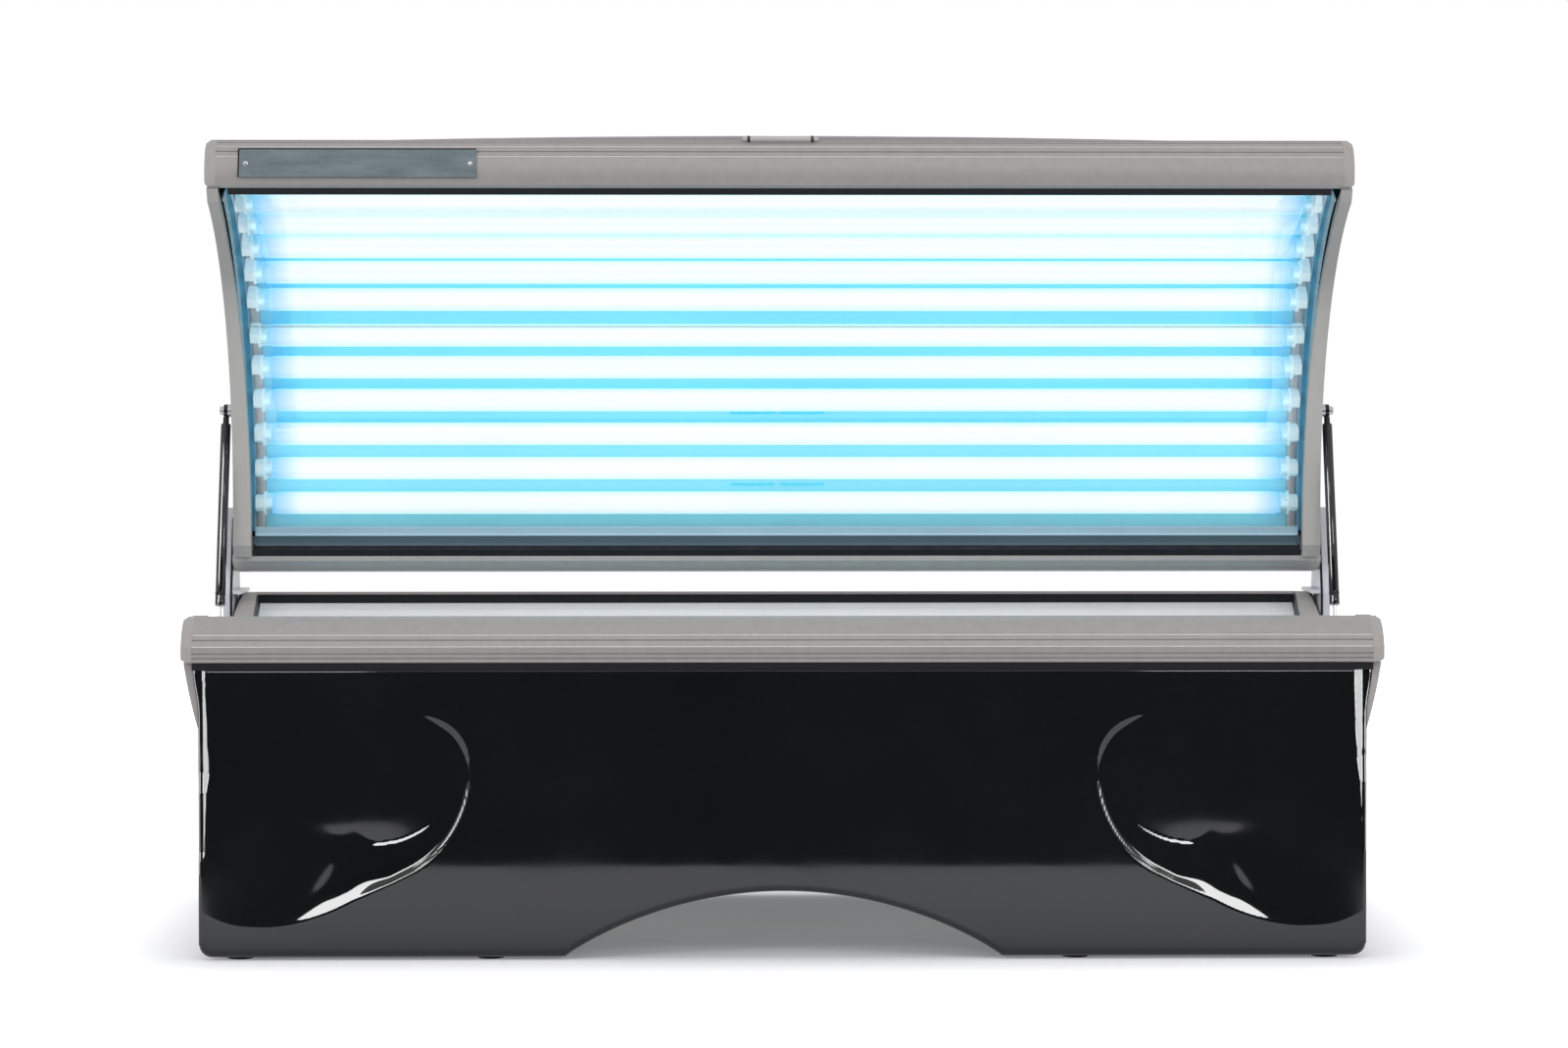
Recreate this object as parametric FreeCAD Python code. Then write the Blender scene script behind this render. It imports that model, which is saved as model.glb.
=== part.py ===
"""Clamshell tanning bed: a lamp bench with a hinged lamp canopy, shown with the canopy raised.

Millimetres, +Z up, front faces -Y, +X to the right. The origin is on the floor under the bench's middle.
The canopy is modelled shut, as a mirror of the bench rim, and is then turned open about its hinge.
"""
import FreeCAD
import Part
import math
import os

os.makedirs("parts", exist_ok=True)
V = FreeCAD.Vector
AXIS_X, AXIS_Y, AXIS_Z = V(1, 0, 0), V(0, 1, 0), V(0, 0, 1)

# ---- driving dimensions: overall
lamp_length = 1740.0
lamp_end_reach = 50.0          # from the lamps' ends to the bed's ends, over the rail caps
bed_depth = 800.0              # over the two bench rails
rim_height = 525.0             # top of the bench rails above the floor
rim_gap = 27.0                 # between the rims with the canopy shut
open_angle = 61.0              # canopy travel in degrees
seat_gap = 0.3                 # air between neighbours that are not clamped
root_lap = 2.0                 # how far a fused rib or neck runs into what carries it
cut_margin = 1.0               # how far a cutter runs past the face it opens
cut_reach = 50.0               # of a cutter that takes away everything beyond a face

# ---- rails
rail_width = 55.0
rail_height = 69.0
rail_wall = 3.0
rail_foot_radius = 4.0
rail_flat_top = 23.0           # height at which the rounded shoulder starts
rail_lip_width = 7.0           # where the shoulder ends, from the inner side
rail_lip_drop = 4.0
rail_bulge = 8.0
rail_groove_heights = (7.0, 14.0, 24.5, 34.5, 41.5)
groove_width = 2.2
groove_depth = 1.6
cap_length = 17.0
cap_nose_scale = 0.86
cap_root_length = 9.0

# ---- lamp unit, the same in the bench and the canopy
shield_radius = 540.0
shield_thickness = 4.0
shield_rim_depth = 13.0        # of the shield's edge below the rim
shield_overhang = 2.0          # of the shield past the last lamp sockets
gasket_width = 12.0
gasket_height = 20.0
gasket_back = 4.0
gasket_clearance = 0.2
shield_to_lamps = 32.0         # from the shield's face to the lamps' axes
lamp_radius = 19.0
lamp_seam_pitch = 70.0
lamps_per_half = 6
bench_lamp_gap = 16.0          # from the outermost lamp to the rail
canopy_front_lamp_gap = 1.5
canopy_rear_lamp_gap = 36.0
canopy_seam_shift = 26.0       # of the canopy's seam along the lamps' arc, towards the front rail
socket_length = 14.0
socket_width = 28.0
socket_top_width = 16.0
lamps_to_reflector = 28.0      # from the lamps' axes to the reflector
reflector_thickness = 1.5
slot_length = 76.0
slot_width = 5.0
slot_spacing = 84.0
strip_thickness = 8.0

# ---- bench ends, panels and frame
end_wall = 4.0
end_foot_width = 14.0
shelf_thickness = 8.0          # of the ledge under the lamp unit
end_bottom = 30.0
pod_inner_inset = 33.5         # of the pod's inner face from the bed's end
pod_widest_drop = 49.0          # below the rim
pod_top_inset = 12.0
pod_middle_drop = 116.5
pod_middle_inset = 11.0
trough_inset = 22.0            # of the end panels' edge inside the shield
panel_thickness = 14.0
panel_face_inset = 2.0         # of the front panel's face behind the rails
panel_end_inset = 32.0         # of the panel's ends from the bed's ends
panel_flare_inset = 17.5
panel_flare_drop = 153.0        # where the flare starts, below the rim
panel_bottom = 4.5
panel_corner_radius = 14.0
panel_gasket_height = 11.5
panel_gasket_setback = 2.0
arch_half_width = 335.0
arch_height = 100.0
arch_roll = 12.5
scoop_inset = 232.0            # of the scoop's centre from the bed's end
scoop_centre_z = 222.0
scoop_half_length = 222.0
scoop_half_height = 138.0
scoop_tilt = 27.0
scoop_depth = 9.0
rear_panel_thickness = 2.0
louvre_count = 12
louvre_pitch = 14.0
louvre_width = 300.0
louvre_slot = 5.0
louvre_centre_x = 560.0
louvre_base = 190.0
frame_tube = 40.0
frame_bottom = 110.0           # clear above the arch
post_size = 30.0
end_post_inset = 85.0
middle_post_x = 450.0
foot_height = 12.0
foot_radius = 20.0
tray_thickness = 3.0
tray_width = 300.0
tray_lip = 20.0
ballast_row_y = -60.0
ballast_ear_length = 12.0
ballast_ear_width = 30.0
ballast_ear_thickness = 3.0
ballast_length = 150.0
ballast_width = 66.0
ballast_height = 50.0
canopy_ballast_height = 34.0
ballast_pitch = 240.0
ballasts_per_row = 6
starter_radius = 10.0
starter_length = 38.0
starter_pitch = 45.0
starter_inset = 40.0           # from the edge of the tray
starters_per_unit = 12

# ---- fans in the rear panel
fan_centre_x = 240.0
fan_centre_z = 230.0
fan_size = 120.0
fan_depth = 38.0
fan_bore_radius = 56.0
fan_hub_radius = 20.0
fan_blade_radius = 53.0
fan_blades = 7
fan_shaft_radius = 3.0
spider_thickness = 4.0
fan_end_play = 1.0
blade_root = 3.0
blade_thickness = 2.0
blade_chord = 26.0
blade_pitch = 42.0
guard_ring_radii = (14.0, 28.0, 42.0)
guard_ring_width = 3.0
guard_thickness = 2.5
guard_lap = 1.5
running_clearance = 0.05

# ---- canopy ends and shell
shell_thickness = 3.0
shell_end_inset = 18.0          # of the shell's edge from the rails' faces
shell_headroom = 1.4            # over the canopy's ballasts
shell_crown_inset = 4.0
shell_crowning = 20.0          # of the shell's middle over its ends
canopy_end_inset = 3.0         # of the end panels' outer face from the bed's end
canopy_end_thickness = 18.0
canopy_end_proud = 2.0
canopy_end_fillet = 7.0
lip_depth = 16.0
lip_front_width = 15.0
lip_rear_width = 31.0
seam_strip_width = 7.0
seam_strip_depth = 2.5
shield_parting = 0.5
spine_width = 80.0
plate_length = 378.0
plate_height = 46.0
plate_thickness = 1.5
plate_inset = 245.0            # of its middle from the bed's end
plate_screw_size = 7.0
plate_screw_height = 1.2
plate_screw_inset = 10.0
clip_length = 126.0
clip_radius = 6.0
clip_sink = 2.5                # of the clip into the rail's face line

# ---- hinge and towers
hinge_inset = 70.0             # of the hinge from the bed's back
hinge_rise = 123.0             # of the hinge above the bench rim
pin_radius = 7.0
pin_head_rim = 5.0
pin_head_length = 5.0
bush_wall = 3.0
hinge_play = 0.8
boss_radius = 18.0
tower_thickness = 16.0
tower_gap = 1.5
tower_head_radius = 22.0
tower_width = 112.0
tower_back_inset = 16.0
tower_drop = 125.0             # of its foot below the rim
tower_foot_length = 16.0
tower_foot_thickness = 6.0
arm_thickness = 8.0
arm_length = 145.0
arm_width = 30.0
arm_rise = 2.0                 # of the arm above the pin's axis

# ---- gas struts
strut_line_outset = 10.0       # of the strut's axis beyond the bed's end
strut_top_ahead = 59.0         # of the top stud in front of the hinge
strut_top_rise = 187.0         # and above it, with the canopy open
strut_foot_ahead = 224.0
strut_foot_drop = 28.0         # of the foot pin below the pod
strut_tube_radius = 8.0
strut_tube_wall = 1.5
strut_tube_end = 338.0         # from the top stud to the tube's lower end
strut_tube_start = 24.0        # from the top stud to the tube's upper end
strut_end_wall = 8.0
strut_neck_radius = 5.0
strut_link_radius = 2.8
strut_collar_proud = 0.8
strut_collar_inset = 22.0
strut_collar_length = 4.0
strut_rod_radius = 3.0
strut_guide_length = 14.0
strut_piston_length = 12.0
strut_rod_hidden = 24.0
eye_radius = 11.0
eye_thickness = 6.0
stud_radius = 4.0
foot_eye_bore = 17.5           # wide, so the rod's eye clears its pin over the travel
foot_eye_radius = 21.5
washer_radius = 9.0
washer_thickness = 2.0
stud_head_radius = 7.0
stud_head_length = 5.0
bracket_width = 60.0
bracket_gap = 3.0              # under the pod
bracket_below = 40.0
bracket_thickness = 3.0

# ---- small controls and fasteners
timer_inset = 150.0            # of the timer from the bed's front
timer_z = 215.0
timer_body_size = 60.0
timer_body_depth = 40.0
knob_radius = 20.0
knob_length = 17.0
knob_flutes = 10
knob_shaft_radius = 3.0
knob_shaft_root = 5.0
knob_gap = 1.0
knob_crown = 4.0
knob_skirt = 4.0
flute_radius = 4.0
flute_outset = 2.0
gland_radius = 12.0
gland_length = 20.0
gland_bore_radius = 5.0
gland_collar_length = 6.0
gland_collar_wall = 4.0
gland_inset = 120.0            # of the gland from the bed's end
gland_z = 90.0
bolt_head_radius = 8.0
bolt_head_height = 3.0
bolt_inset = 22.0
bolt_rise = 25.0

# ---- worked out from the sizes above
bed_length = lamp_length + 2 * lamp_end_reach
half_length = bed_length / 2.0
half_depth = bed_depth / 2.0
rail_half_length = half_length - cap_length
rail_inner_y = half_depth - rail_width
rail_bottom = rim_height - rail_height
shield_edge_y = rail_inner_y - gasket_back - gasket_clearance
arc_z = rim_height - shield_rim_depth + math.sqrt(shield_radius ** 2 - shield_edge_y ** 2)
mirror_z = rim_height + rim_gap / 2.0
lamp_half = lamp_length / 2.0
lamp_arc_radius = shield_radius + shield_to_lamps
reflector_radius = lamp_arc_radius + lamps_to_reflector
trough_radius = shield_radius - trough_inset
socket_outer_x = lamp_half + socket_length
inner_end_x = half_length - pod_inner_inset
pod_widest_z = rim_height - pod_widest_drop
pod_middle_z = rim_height - pod_middle_drop
panel_half_width = half_length - panel_end_inset
panel_flare_half_width = half_length - panel_flare_inset
end_post_x = half_length - end_post_inset
shell_end_half_width = half_depth - shell_end_inset
shell_crown_half_width = half_depth - shell_crown_inset
hinge_y = half_depth - hinge_inset
hinge_z = rim_height + hinge_rise
tower_back_y = half_depth - tower_back_inset
tower_front_y = tower_back_y - tower_width
tower_bottom = rim_height - tower_drop
strut_top_y = hinge_y - strut_top_ahead
strut_top_z = hinge_z + strut_top_rise
strut_foot_y = hinge_y - strut_foot_ahead
timer_y = timer_inset - half_depth
gland_x = half_length - gland_inset
plate_centre_x = plate_inset - half_length
strut_x = half_length + strut_line_outset
tower_inner_x = half_length + tower_gap
tower_outer_x = tower_inner_x + tower_thickness
canopy_outer_x = half_length - canopy_end_inset
canopy_inner_x = canopy_outer_x - canopy_end_thickness
shut_rim_z = rim_height + rim_gap
shut_rail_top = shut_rim_z + rail_height
reflector_outer = reflector_radius + reflector_thickness
shelf_top = arc_z - reflector_outer - seat_gap
pod_bottom = shelf_top - shelf_thickness / 2.0
strut_foot_z = pod_bottom - strut_foot_drop
frame_top = frame_bottom + frame_tube
panel_front_y = half_depth - panel_face_inset
panel_back_y = panel_front_y - panel_thickness
post_outer_y = panel_back_y - seat_gap
post_inner_y = post_outer_y - post_size
tray_length = 2 * (end_post_x + post_size / 2.0)
panel_top = rail_bottom - panel_gasket_height - seat_gap
spine_z = 2 * mirror_z - (arc_z - reflector_outer) + seat_gap
canopy_ballast_z = spine_z + tray_thickness
shell_base_z = shut_rail_top + seat_gap
shell_end_rise = canopy_ballast_z + canopy_ballast_height + shell_headroom + shell_thickness - shell_base_z
shell_crown_rise = shell_end_rise + shell_crowning


# ---------------------------------------------------------------- helpers
def box(x0, x1, y0, y1, z0, z1):
    return Part.makeBox(x1 - x0, y1 - y0, z1 - z0, V(x0, y0, z0))


def rod(x0, x1, y, z, radius):
    return Part.makeCylinder(radius, x1 - x0, V(x0, y, z), AXIS_X)


def along_y(radius, y, length, x, z):
    return Part.makeCylinder(radius, length, V(x, y, z), AXIS_Y)


def tube(x0, x1, y, z, outer, inner):
    return rod(x0, x1, y, z, outer).cut(rod(x0, x1, y, z, inner))


def prism(edges, direction):
    return Part.Face(Part.Wire(edges)).extrude(direction)


def polygon(points):
    return [Part.LineSegment(a, b).toShape() for a, b in zip(points, points[1:] + points[:1])]


def mirrored_x(shape):
    return shape.mirror(V(0, 0, 0), AXIS_X)


def mirrored_y(shape):
    return shape.mirror(V(0, 0, 0), AXIS_Y)


def both_ends(shape):
    return [shape, mirrored_x(shape)]


def front_and_back(shape):
    return [shape, mirrored_y(shape)]


def flatten(groups):
    return [shape for group in groups for shape in group]


def shut(shape):
    """Bench rim parts turned over, as they lie in the shut canopy."""
    return shape.mirror(V(0, 0, mirror_z), AXIS_Z)


def raised(shape):
    """A shut canopy part turned to its open place."""
    turned = shape.copy()
    turned.rotate(V(0, hinge_y, hinge_z), AXIS_X, -open_angle)
    return turned


def save(name, shapes):
    solids = [solid for shape in shapes for solid in shape.Solids]
    for solid in solids:
        if not solid.isValid():
            print("not valid:", name)
    whole = solids[0] if len(solids) == 1 else Part.makeCompound(solids)
    whole.exportStep("parts/" + name + ".step")


def save_canopy(name, shapes):
    save(name, [raised(shape) for shape in shapes])


# ---------------------------------------------------------------- lamp unit
def arc_point(radius, angle, x=0.0):
    """A point on the unit's arc, by its angle from straight down."""
    return V(x, radius * math.sin(angle), arc_z - radius * math.cos(angle))


def edge_angle(radius, y):
    return math.asin(y / radius)


def sector(inner, outer, start, end, x0, x1):
    """A curved sheet between two radii and two angles, along X."""
    middle = (start + end) / 2.0
    edges = [
        Part.Arc(*[arc_point(inner, a, x0) for a in (start, middle, end)]).toShape(),
        Part.LineSegment(arc_point(inner, end, x0), arc_point(outer, end, x0)).toShape(),
        Part.Arc(*[arc_point(outer, a, x0) for a in (end, middle, start)]).toShape(),
        Part.LineSegment(arc_point(outer, start, x0), arc_point(inner, start, x0)).toShape(),
    ]
    return prism(edges, V(x1 - x0, 0, 0))


def lamp_limit(gap):
    """The arc length from the unit's middle to a lamp that lies this far from the rail."""
    return lamp_arc_radius * math.asin((rail_inner_y - gap - lamp_radius) / lamp_arc_radius)


def half_run(start, end):
    step = (end - start) / (lamps_per_half - 1)
    return [start + i * step for i in range(lamps_per_half)]


def lamp_angles(front_gap=bench_lamp_gap, rear_gap=bench_lamp_gap, shift=0.0):
    """Angles of the lamps from front to rear, evenly spaced on each side of the seam."""
    seam = lamp_seam_pitch / 2.0
    front = half_run(-lamp_limit(front_gap), -shift - seam)
    rear = half_run(seam - shift, lamp_limit(rear_gap))
    return [run / lamp_arc_radius for run in front + rear]


def canopy_angles():
    return lamp_angles(canopy_front_lamp_gap, canopy_rear_lamp_gap, canopy_seam_shift)


def shoulder_circle():
    """Centre and radius, in the rail's section, of its rounded shoulder."""
    start = V(rail_width, rail_flat_top, 0)
    end = V(rail_lip_width, rail_height, 0)
    chord = end.sub(start)
    outward = V(chord.y, -chord.x, 0).normalize()
    top = start.add(chord.multiply(0.5)).add(outward.multiply(rail_bulge))
    circle = Part.Arc(start, top, end).toShape().Curve
    return circle.Center, circle.Radius, top


def rail_point(across, height, x=0.0):
    """A point of the front bench rail's section, from its inner lower corner."""
    return V(x, -(rail_inner_y + across), rail_bottom + height)


def rail_section(x):
    centre, radius, top = shoulder_circle()
    foot = rail_foot_radius
    corner = rail_point(rail_width - foot * (1 - math.sqrt(0.5)), foot * (1 - math.sqrt(0.5)), x)
    outer_foot = rail_point(rail_width - foot, 0, x)
    outer_start = rail_point(rail_width, foot, x)
    shoulder_start = rail_point(rail_width, rail_flat_top, x)
    lip = rail_point(rail_lip_width, rail_height, x)
    inner_top = rail_point(0, rail_height - rail_lip_drop, x)
    inner_foot = rail_point(0, 0, x)
    return Part.Wire([
        Part.LineSegment(inner_foot, outer_foot).toShape(),
        Part.Arc(outer_foot, corner, outer_start).toShape(),
        Part.LineSegment(outer_start, shoulder_start).toShape(),
        Part.Arc(shoulder_start, rail_point(top.x, top.y, x), lip).toShape(),
        Part.LineSegment(lip, inner_top).toShape(),
        Part.LineSegment(inner_top, inner_foot).toShape(),
    ])


def face_distance(height):
    """How far the rail's outer face stands out at a height of its section."""
    if height <= rail_flat_top:
        return rail_width
    centre, radius, top = shoulder_circle()
    return centre.x + math.sqrt(radius ** 2 - (height - centre.y) ** 2)


def front_rail():
    section = rail_section(-rail_half_length)
    along = V(2 * rail_half_length, 0, 0)
    rail = Part.Face(section).extrude(along)
    hollow = Part.Face(section.makeOffset2D(-rail_wall)).extrude(along)
    rail = rail.cut(hollow)
    for height in rail_groove_heights:
        across = face_distance(height)
        near = rail_point(across + groove_depth, height - groove_width / 2.0)
        groove = box(-rail_half_length, rail_half_length, near.y, near.y + 2 * groove_depth,
                     near.z, near.z + groove_width)
        rail = rail.cut(groove)
    return rail


def rail_cap():
    """Right-hand cap of the front rail: a short root and a drawn-in nose."""
    root = rail_section(rail_half_length)
    nose_start = rail_section(rail_half_length + cap_root_length)
    nose_end = rail_section(half_length)
    centre = nose_end.BoundBox.Center
    nose_end.scale(cap_nose_scale, centre)
    body = Part.Face(root).extrude(V(cap_root_length, 0, 0))
    nose = Part.makeLoft([nose_start, nose_end], True, True)
    return body.fuse(nose).removeSplitter()


def rail_caps():
    return flatten(both_ends(shape) for shape in front_and_back(rail_cap()))


def shield_sheet(start_y, end_y, extra=0.0):
    return sector(shield_radius - extra, shield_radius + shield_thickness + extra,
                  edge_angle(shield_radius, start_y), edge_angle(shield_radius, end_y),
                  -socket_outer_x + shield_overhang - extra, socket_outer_x - shield_overhang + extra)


def shield_gasket():
    """Front rubber channel that holds the shield's edge against the rail."""
    inner_y = -rail_inner_y
    top = rim_height - rail_lip_drop
    reach = socket_outer_x
    strip = box(-reach, reach, inner_y, inner_y + gasket_width, top - gasket_height, top)
    groove_end = -(rail_inner_y - gasket_back)
    return strip.cut(shield_sheet(groove_end, 0.0, gasket_clearance))


def shield_gaskets():
    return front_and_back(shield_gasket())


def lamps(angles):
    places = [arc_point(lamp_arc_radius, angle) for angle in angles]
    return [rod(-lamp_half, lamp_half, place.y, place.z, lamp_radius) for place in places]


def socket(angle):
    """A push-in lamp socket: a stem from the strip with a narrowed head."""
    half, tip = socket_width / 2.0, socket_top_width / 2.0
    foot = reflector_radius - strip_thickness
    head = lamp_arc_radius - socket_width / 2.0
    neck = lamp_arc_radius
    outline = [(-half, foot), (half, foot), (half, neck), (tip, head), (-tip, head), (-half, neck)]
    sideways = V(0, math.cos(angle), math.sin(angle))
    points = [arc_point(radius, angle, lamp_half) + sideways * across for across, radius in outline]
    block = prism(polygon(points), V(socket_length, 0, 0))
    strip = sector(foot, reflector_radius, -math.pi / 2.2, math.pi / 2.2, lamp_half, socket_outer_x)
    return block.cut(strip)


def sockets(angles):
    return flatten(both_ends(socket(angle)) for angle in angles)


def socket_strips():
    limit = edge_angle(reflector_outer, rail_inner_y - seat_gap)
    strip = sector(reflector_radius - strip_thickness, reflector_outer, -limit, limit,
                   lamp_half, socket_outer_x)
    return both_ends(strip)


def slot_angles(angles):
    """Slots lie in every second gap between lamps."""
    return [(angles[i] + angles[i + 1]) / 2.0 for i in range(0, len(angles) - 1, 2)]


def reflector(angles):
    limit = edge_angle(reflector_outer, rail_inner_y - seat_gap)
    reach = lamp_half - seat_gap
    sheet = sector(reflector_radius, reflector_outer, -limit, limit, -reach, reach)
    half_slot = slot_width / reflector_radius / 2.0
    for angle in slot_angles(angles):
        for side in (-1, 1):
            start = side * slot_spacing / 2.0 - slot_length / 2.0
            sheet = sheet.cut(sector(reflector_radius - cut_margin, reflector_outer + cut_margin,
                                     angle - half_slot, angle + half_slot, start, start + slot_length))
    return sheet


# ---------------------------------------------------------------- bench
def pod_edges(inset, inner_x, bottom):
    """Closed section of the bench end's upper pod, right-hand side, drawn in XZ."""
    widest = V(half_length - inset, 0, pod_widest_z)
    top = V(half_length - pod_top_inset - inset, 0, rim_height - inset)
    lower = V(inner_end_x, 0, bottom)
    middle = V(half_length - pod_middle_inset - inset, 0, pod_middle_z)
    crown_x = half_length - (pod_top_inset / 4.0) - inset
    crown = V(crown_x, 0, (pod_widest_z + rim_height) / 2.0)
    corner = V(inner_x, 0, rim_height - inset)
    edges = [
        Part.Arc(lower, middle, widest).toShape(),
        Part.Arc(widest, crown, top).toShape(),
        Part.LineSegment(top, corner).toShape(),
    ]
    if inner_x < inner_end_x:
        step = V(inner_x, 0, bottom)
        return edges + [Part.LineSegment(corner, step).toShape(), Part.LineSegment(step, lower).toShape()]
    return edges + [Part.LineSegment(corner, lower).toShape()]


def pod_block(inset, inner_x, bottom):
    """The pod along the bench, notched for the rails and dished along the shield."""
    front = post_outer_y - inset
    far = half_length + cut_reach
    face = Part.Face(Part.Wire(pod_edges(inset, inner_x, bottom)))
    face.translate(V(0, -front, 0))
    block = face.extrude(V(0, 2 * front, 0))
    notch_y = rail_inner_y - seat_gap - inset
    low = rail_bottom - seat_gap - inset
    notch = box(0, far, -front - cut_margin, -notch_y, low, rim_height + cut_reach)
    trough = rod(0, far, 0, arc_z, trough_radius + inset)
    return block.cut(notch).cut(mirrored_y(notch)).cut(trough)


def bench_end():
    outer = pod_block(0.0, inner_end_x, pod_bottom)
    cavity = pod_block(end_wall, inner_end_x - end_wall, pod_bottom + 2 * end_wall)
    front = post_outer_y
    foot_x = inner_end_x - end_foot_width
    skirt = box(foot_x, inner_end_x, -front, front, end_bottom, pod_bottom)
    shelf = box(foot_x, inner_end_x, -front, front, shelf_top - shelf_thickness, shelf_top)
    return outer.cut(cavity).fuse(skirt).fuse(shelf).removeSplitter()


def front_panel_outline(y):
    r = panel_corner_radius
    bend = r * (1 - math.sqrt(0.5))
    half, flare = panel_half_width, panel_flare_half_width
    flare_z = rim_height - panel_flare_drop
    top = panel_top
    arch_centre_z = panel_bottom + arch_height - arch_radius()
    right = [
        Part.LineSegment(V(arch_half_width, y, panel_bottom), V(half - r, y, panel_bottom)).toShape(),
        Part.Arc(V(half - r, y, panel_bottom), V(half - bend, y, panel_bottom + bend),
                 V(half, y, panel_bottom + r)).toShape(),
        Part.LineSegment(V(half, y, panel_bottom + r), V(half, y, flare_z)).toShape(),
        Part.LineSegment(V(half, y, flare_z), V(flare, y, top)).toShape(),
    ]
    left = [mirrored_x(edge) for edge in right]
    top_edge = Part.LineSegment(V(flare, y, top), V(-flare, y, top)).toShape()
    arch = Part.Arc(V(-arch_half_width, y, panel_bottom), V(0, y, arch_centre_z + arch_radius()),
                    V(arch_half_width, y, panel_bottom)).toShape()
    return Part.Wire(Part.__sortEdges__(right + [top_edge] + left + [arch]))


def arch_radius():
    return (arch_half_width ** 2 + arch_height ** 2) / (2 * arch_height)


def scoop(front_y):
    """An oval dish, its long axis tilted down towards the bed's end."""
    unit = Part.makeSphere(1.0)
    stretch = FreeCAD.Matrix()
    depth_scale = scoop_half_height
    cut_radius = math.sqrt(1 - (1 - scoop_depth / depth_scale) ** 2)
    stretch.scale(scoop_half_length / cut_radius, depth_scale, scoop_half_height / cut_radius)
    dish = unit.transformGeometry(stretch)
    dish.rotate(V(0, 0, 0), AXIS_Y, scoop_tilt)
    dish.translate(V(half_length - scoop_inset, front_y - depth_scale + scoop_depth, scoop_centre_z))
    return dish


def front_panel():
    front_y = -panel_front_y
    centre_z = panel_bottom + arch_height - arch_radius()
    roll = Part.makeCone(arch_radius(), arch_radius() - arch_roll, panel_thickness,
                         V(0, front_y, centre_z), AXIS_Y)
    back_arch = along_y(arch_radius() - arch_roll, front_y, panel_thickness, 0, centre_z)
    panel = Part.Face(front_panel_outline(front_y)).extrude(V(0, panel_thickness, 0))
    web = along_y(arch_radius(), front_y, panel_thickness, 0, centre_z)
    band = box(-arch_half_width, arch_half_width, front_y, front_y + panel_thickness,
               panel_bottom, panel_bottom + arch_height)
    lip = band.common(web).cut(roll).cut(back_arch)
    panel = panel.fuse(lip)
    for dish in both_ends(scoop(front_y)):
        panel = panel.cut(dish)
    return panel


def panel_gaskets():
    front = -panel_front_y
    top = rail_bottom - seat_gap
    strip = box(-rail_half_length, rail_half_length, front + panel_gasket_setback, front + panel_thickness,
                top - panel_gasket_height + seat_gap, top)
    return front_and_back(strip)


def rear_panel():
    y = panel_back_y
    through = rear_panel_thickness + 2 * cut_margin
    top = panel_top
    sheet = box(-panel_half_width, panel_half_width, y, y + rear_panel_thickness, end_bottom, top)
    for side in (-1, 1):
        for row in range(louvre_count):
            x = side * louvre_centre_x - louvre_width / 2.0
            z = louvre_base + row * louvre_pitch
            slot = box(x, x + louvre_width, y - cut_margin, y - cut_margin + through, z, z + louvre_slot)
            sheet = sheet.cut(slot)
        duct = along_y(fan_bore_radius, y - cut_margin, through, side * fan_centre_x, fan_centre_z)
        sheet = sheet.cut(duct)
    return sheet.cut(along_y(gland_radius, y - cut_margin, through, gland_x, gland_z))


def base_tubes():
    """Two long tubes inside the posts and the cross tubes between them, butt welded."""
    inner = post_inner_y - frame_tube
    reach = end_post_x + post_size / 2.0
    half = frame_tube / 2.0
    shapes = front_and_back(box(-reach, reach, -post_inner_y, -inner, frame_bottom, frame_top))
    for x in (half - reach, 0.0, reach - half):
        shapes.append(box(x - half, x + half, -inner, inner, frame_bottom, frame_top))
    return shapes


def post_places():
    return [(side * x, end * (post_inner_y + post_size / 2.0))
            for side in (-1, 1) for x in (end_post_x, middle_post_x) for end in (-1, 1)]


def frame_posts():
    half = post_size / 2.0
    return [box(x - half, x + half, y - half, y + half, foot_height, rail_bottom) for x, y in post_places()]


def feet():
    places = [V(x, math.copysign(abs(y) - foot_radius / 2.0, y), 0) for x, y in post_places()]
    return [Part.makeCylinder(foot_radius, foot_height, place, AXIS_Z) for place in places]


def tray_channel(length, width, bottom):
    """A shallow sheet channel along X with its lips turned up."""
    base = box(-length / 2.0, length / 2.0, -width / 2.0, width / 2.0, bottom, bottom + tray_thickness)
    lip = box(-length / 2.0, length / 2.0, -width / 2.0, -width / 2.0 + tray_thickness, bottom,
              bottom + tray_lip + tray_thickness)
    return base.fuse(lip).fuse(mirrored_y(lip)).removeSplitter()


def ballast_row(y, z, height):
    first = -(ballasts_per_row - 1) / 2.0 * ballast_pitch
    shapes = []
    for i in range(ballasts_per_row):
        x = first + i * ballast_pitch
        core = box(x - ballast_length / 2.0, x + ballast_length / 2.0, y - ballast_width / 2.0,
                   y + ballast_width / 2.0, z, z + height)
        reach = ballast_length / 2.0 + ballast_ear_length
        ears = box(x - reach, x + reach, y - ballast_ear_width / 2.0, y + ballast_ear_width / 2.0,
                   z, z + ballast_ear_thickness)
        shapes.append(core.fuse(ears).removeSplitter())
    return shapes


def starters():
    z = frame_top + tray_thickness
    y = tray_width / 2.0 - starter_inset
    first = -(starters_per_unit - 1) / 2.0 * starter_pitch
    return [Part.makeCylinder(starter_radius, starter_length, V(first + i * starter_pitch, y, z), AXIS_Z)
            for i in range(starters_per_unit)]


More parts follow.
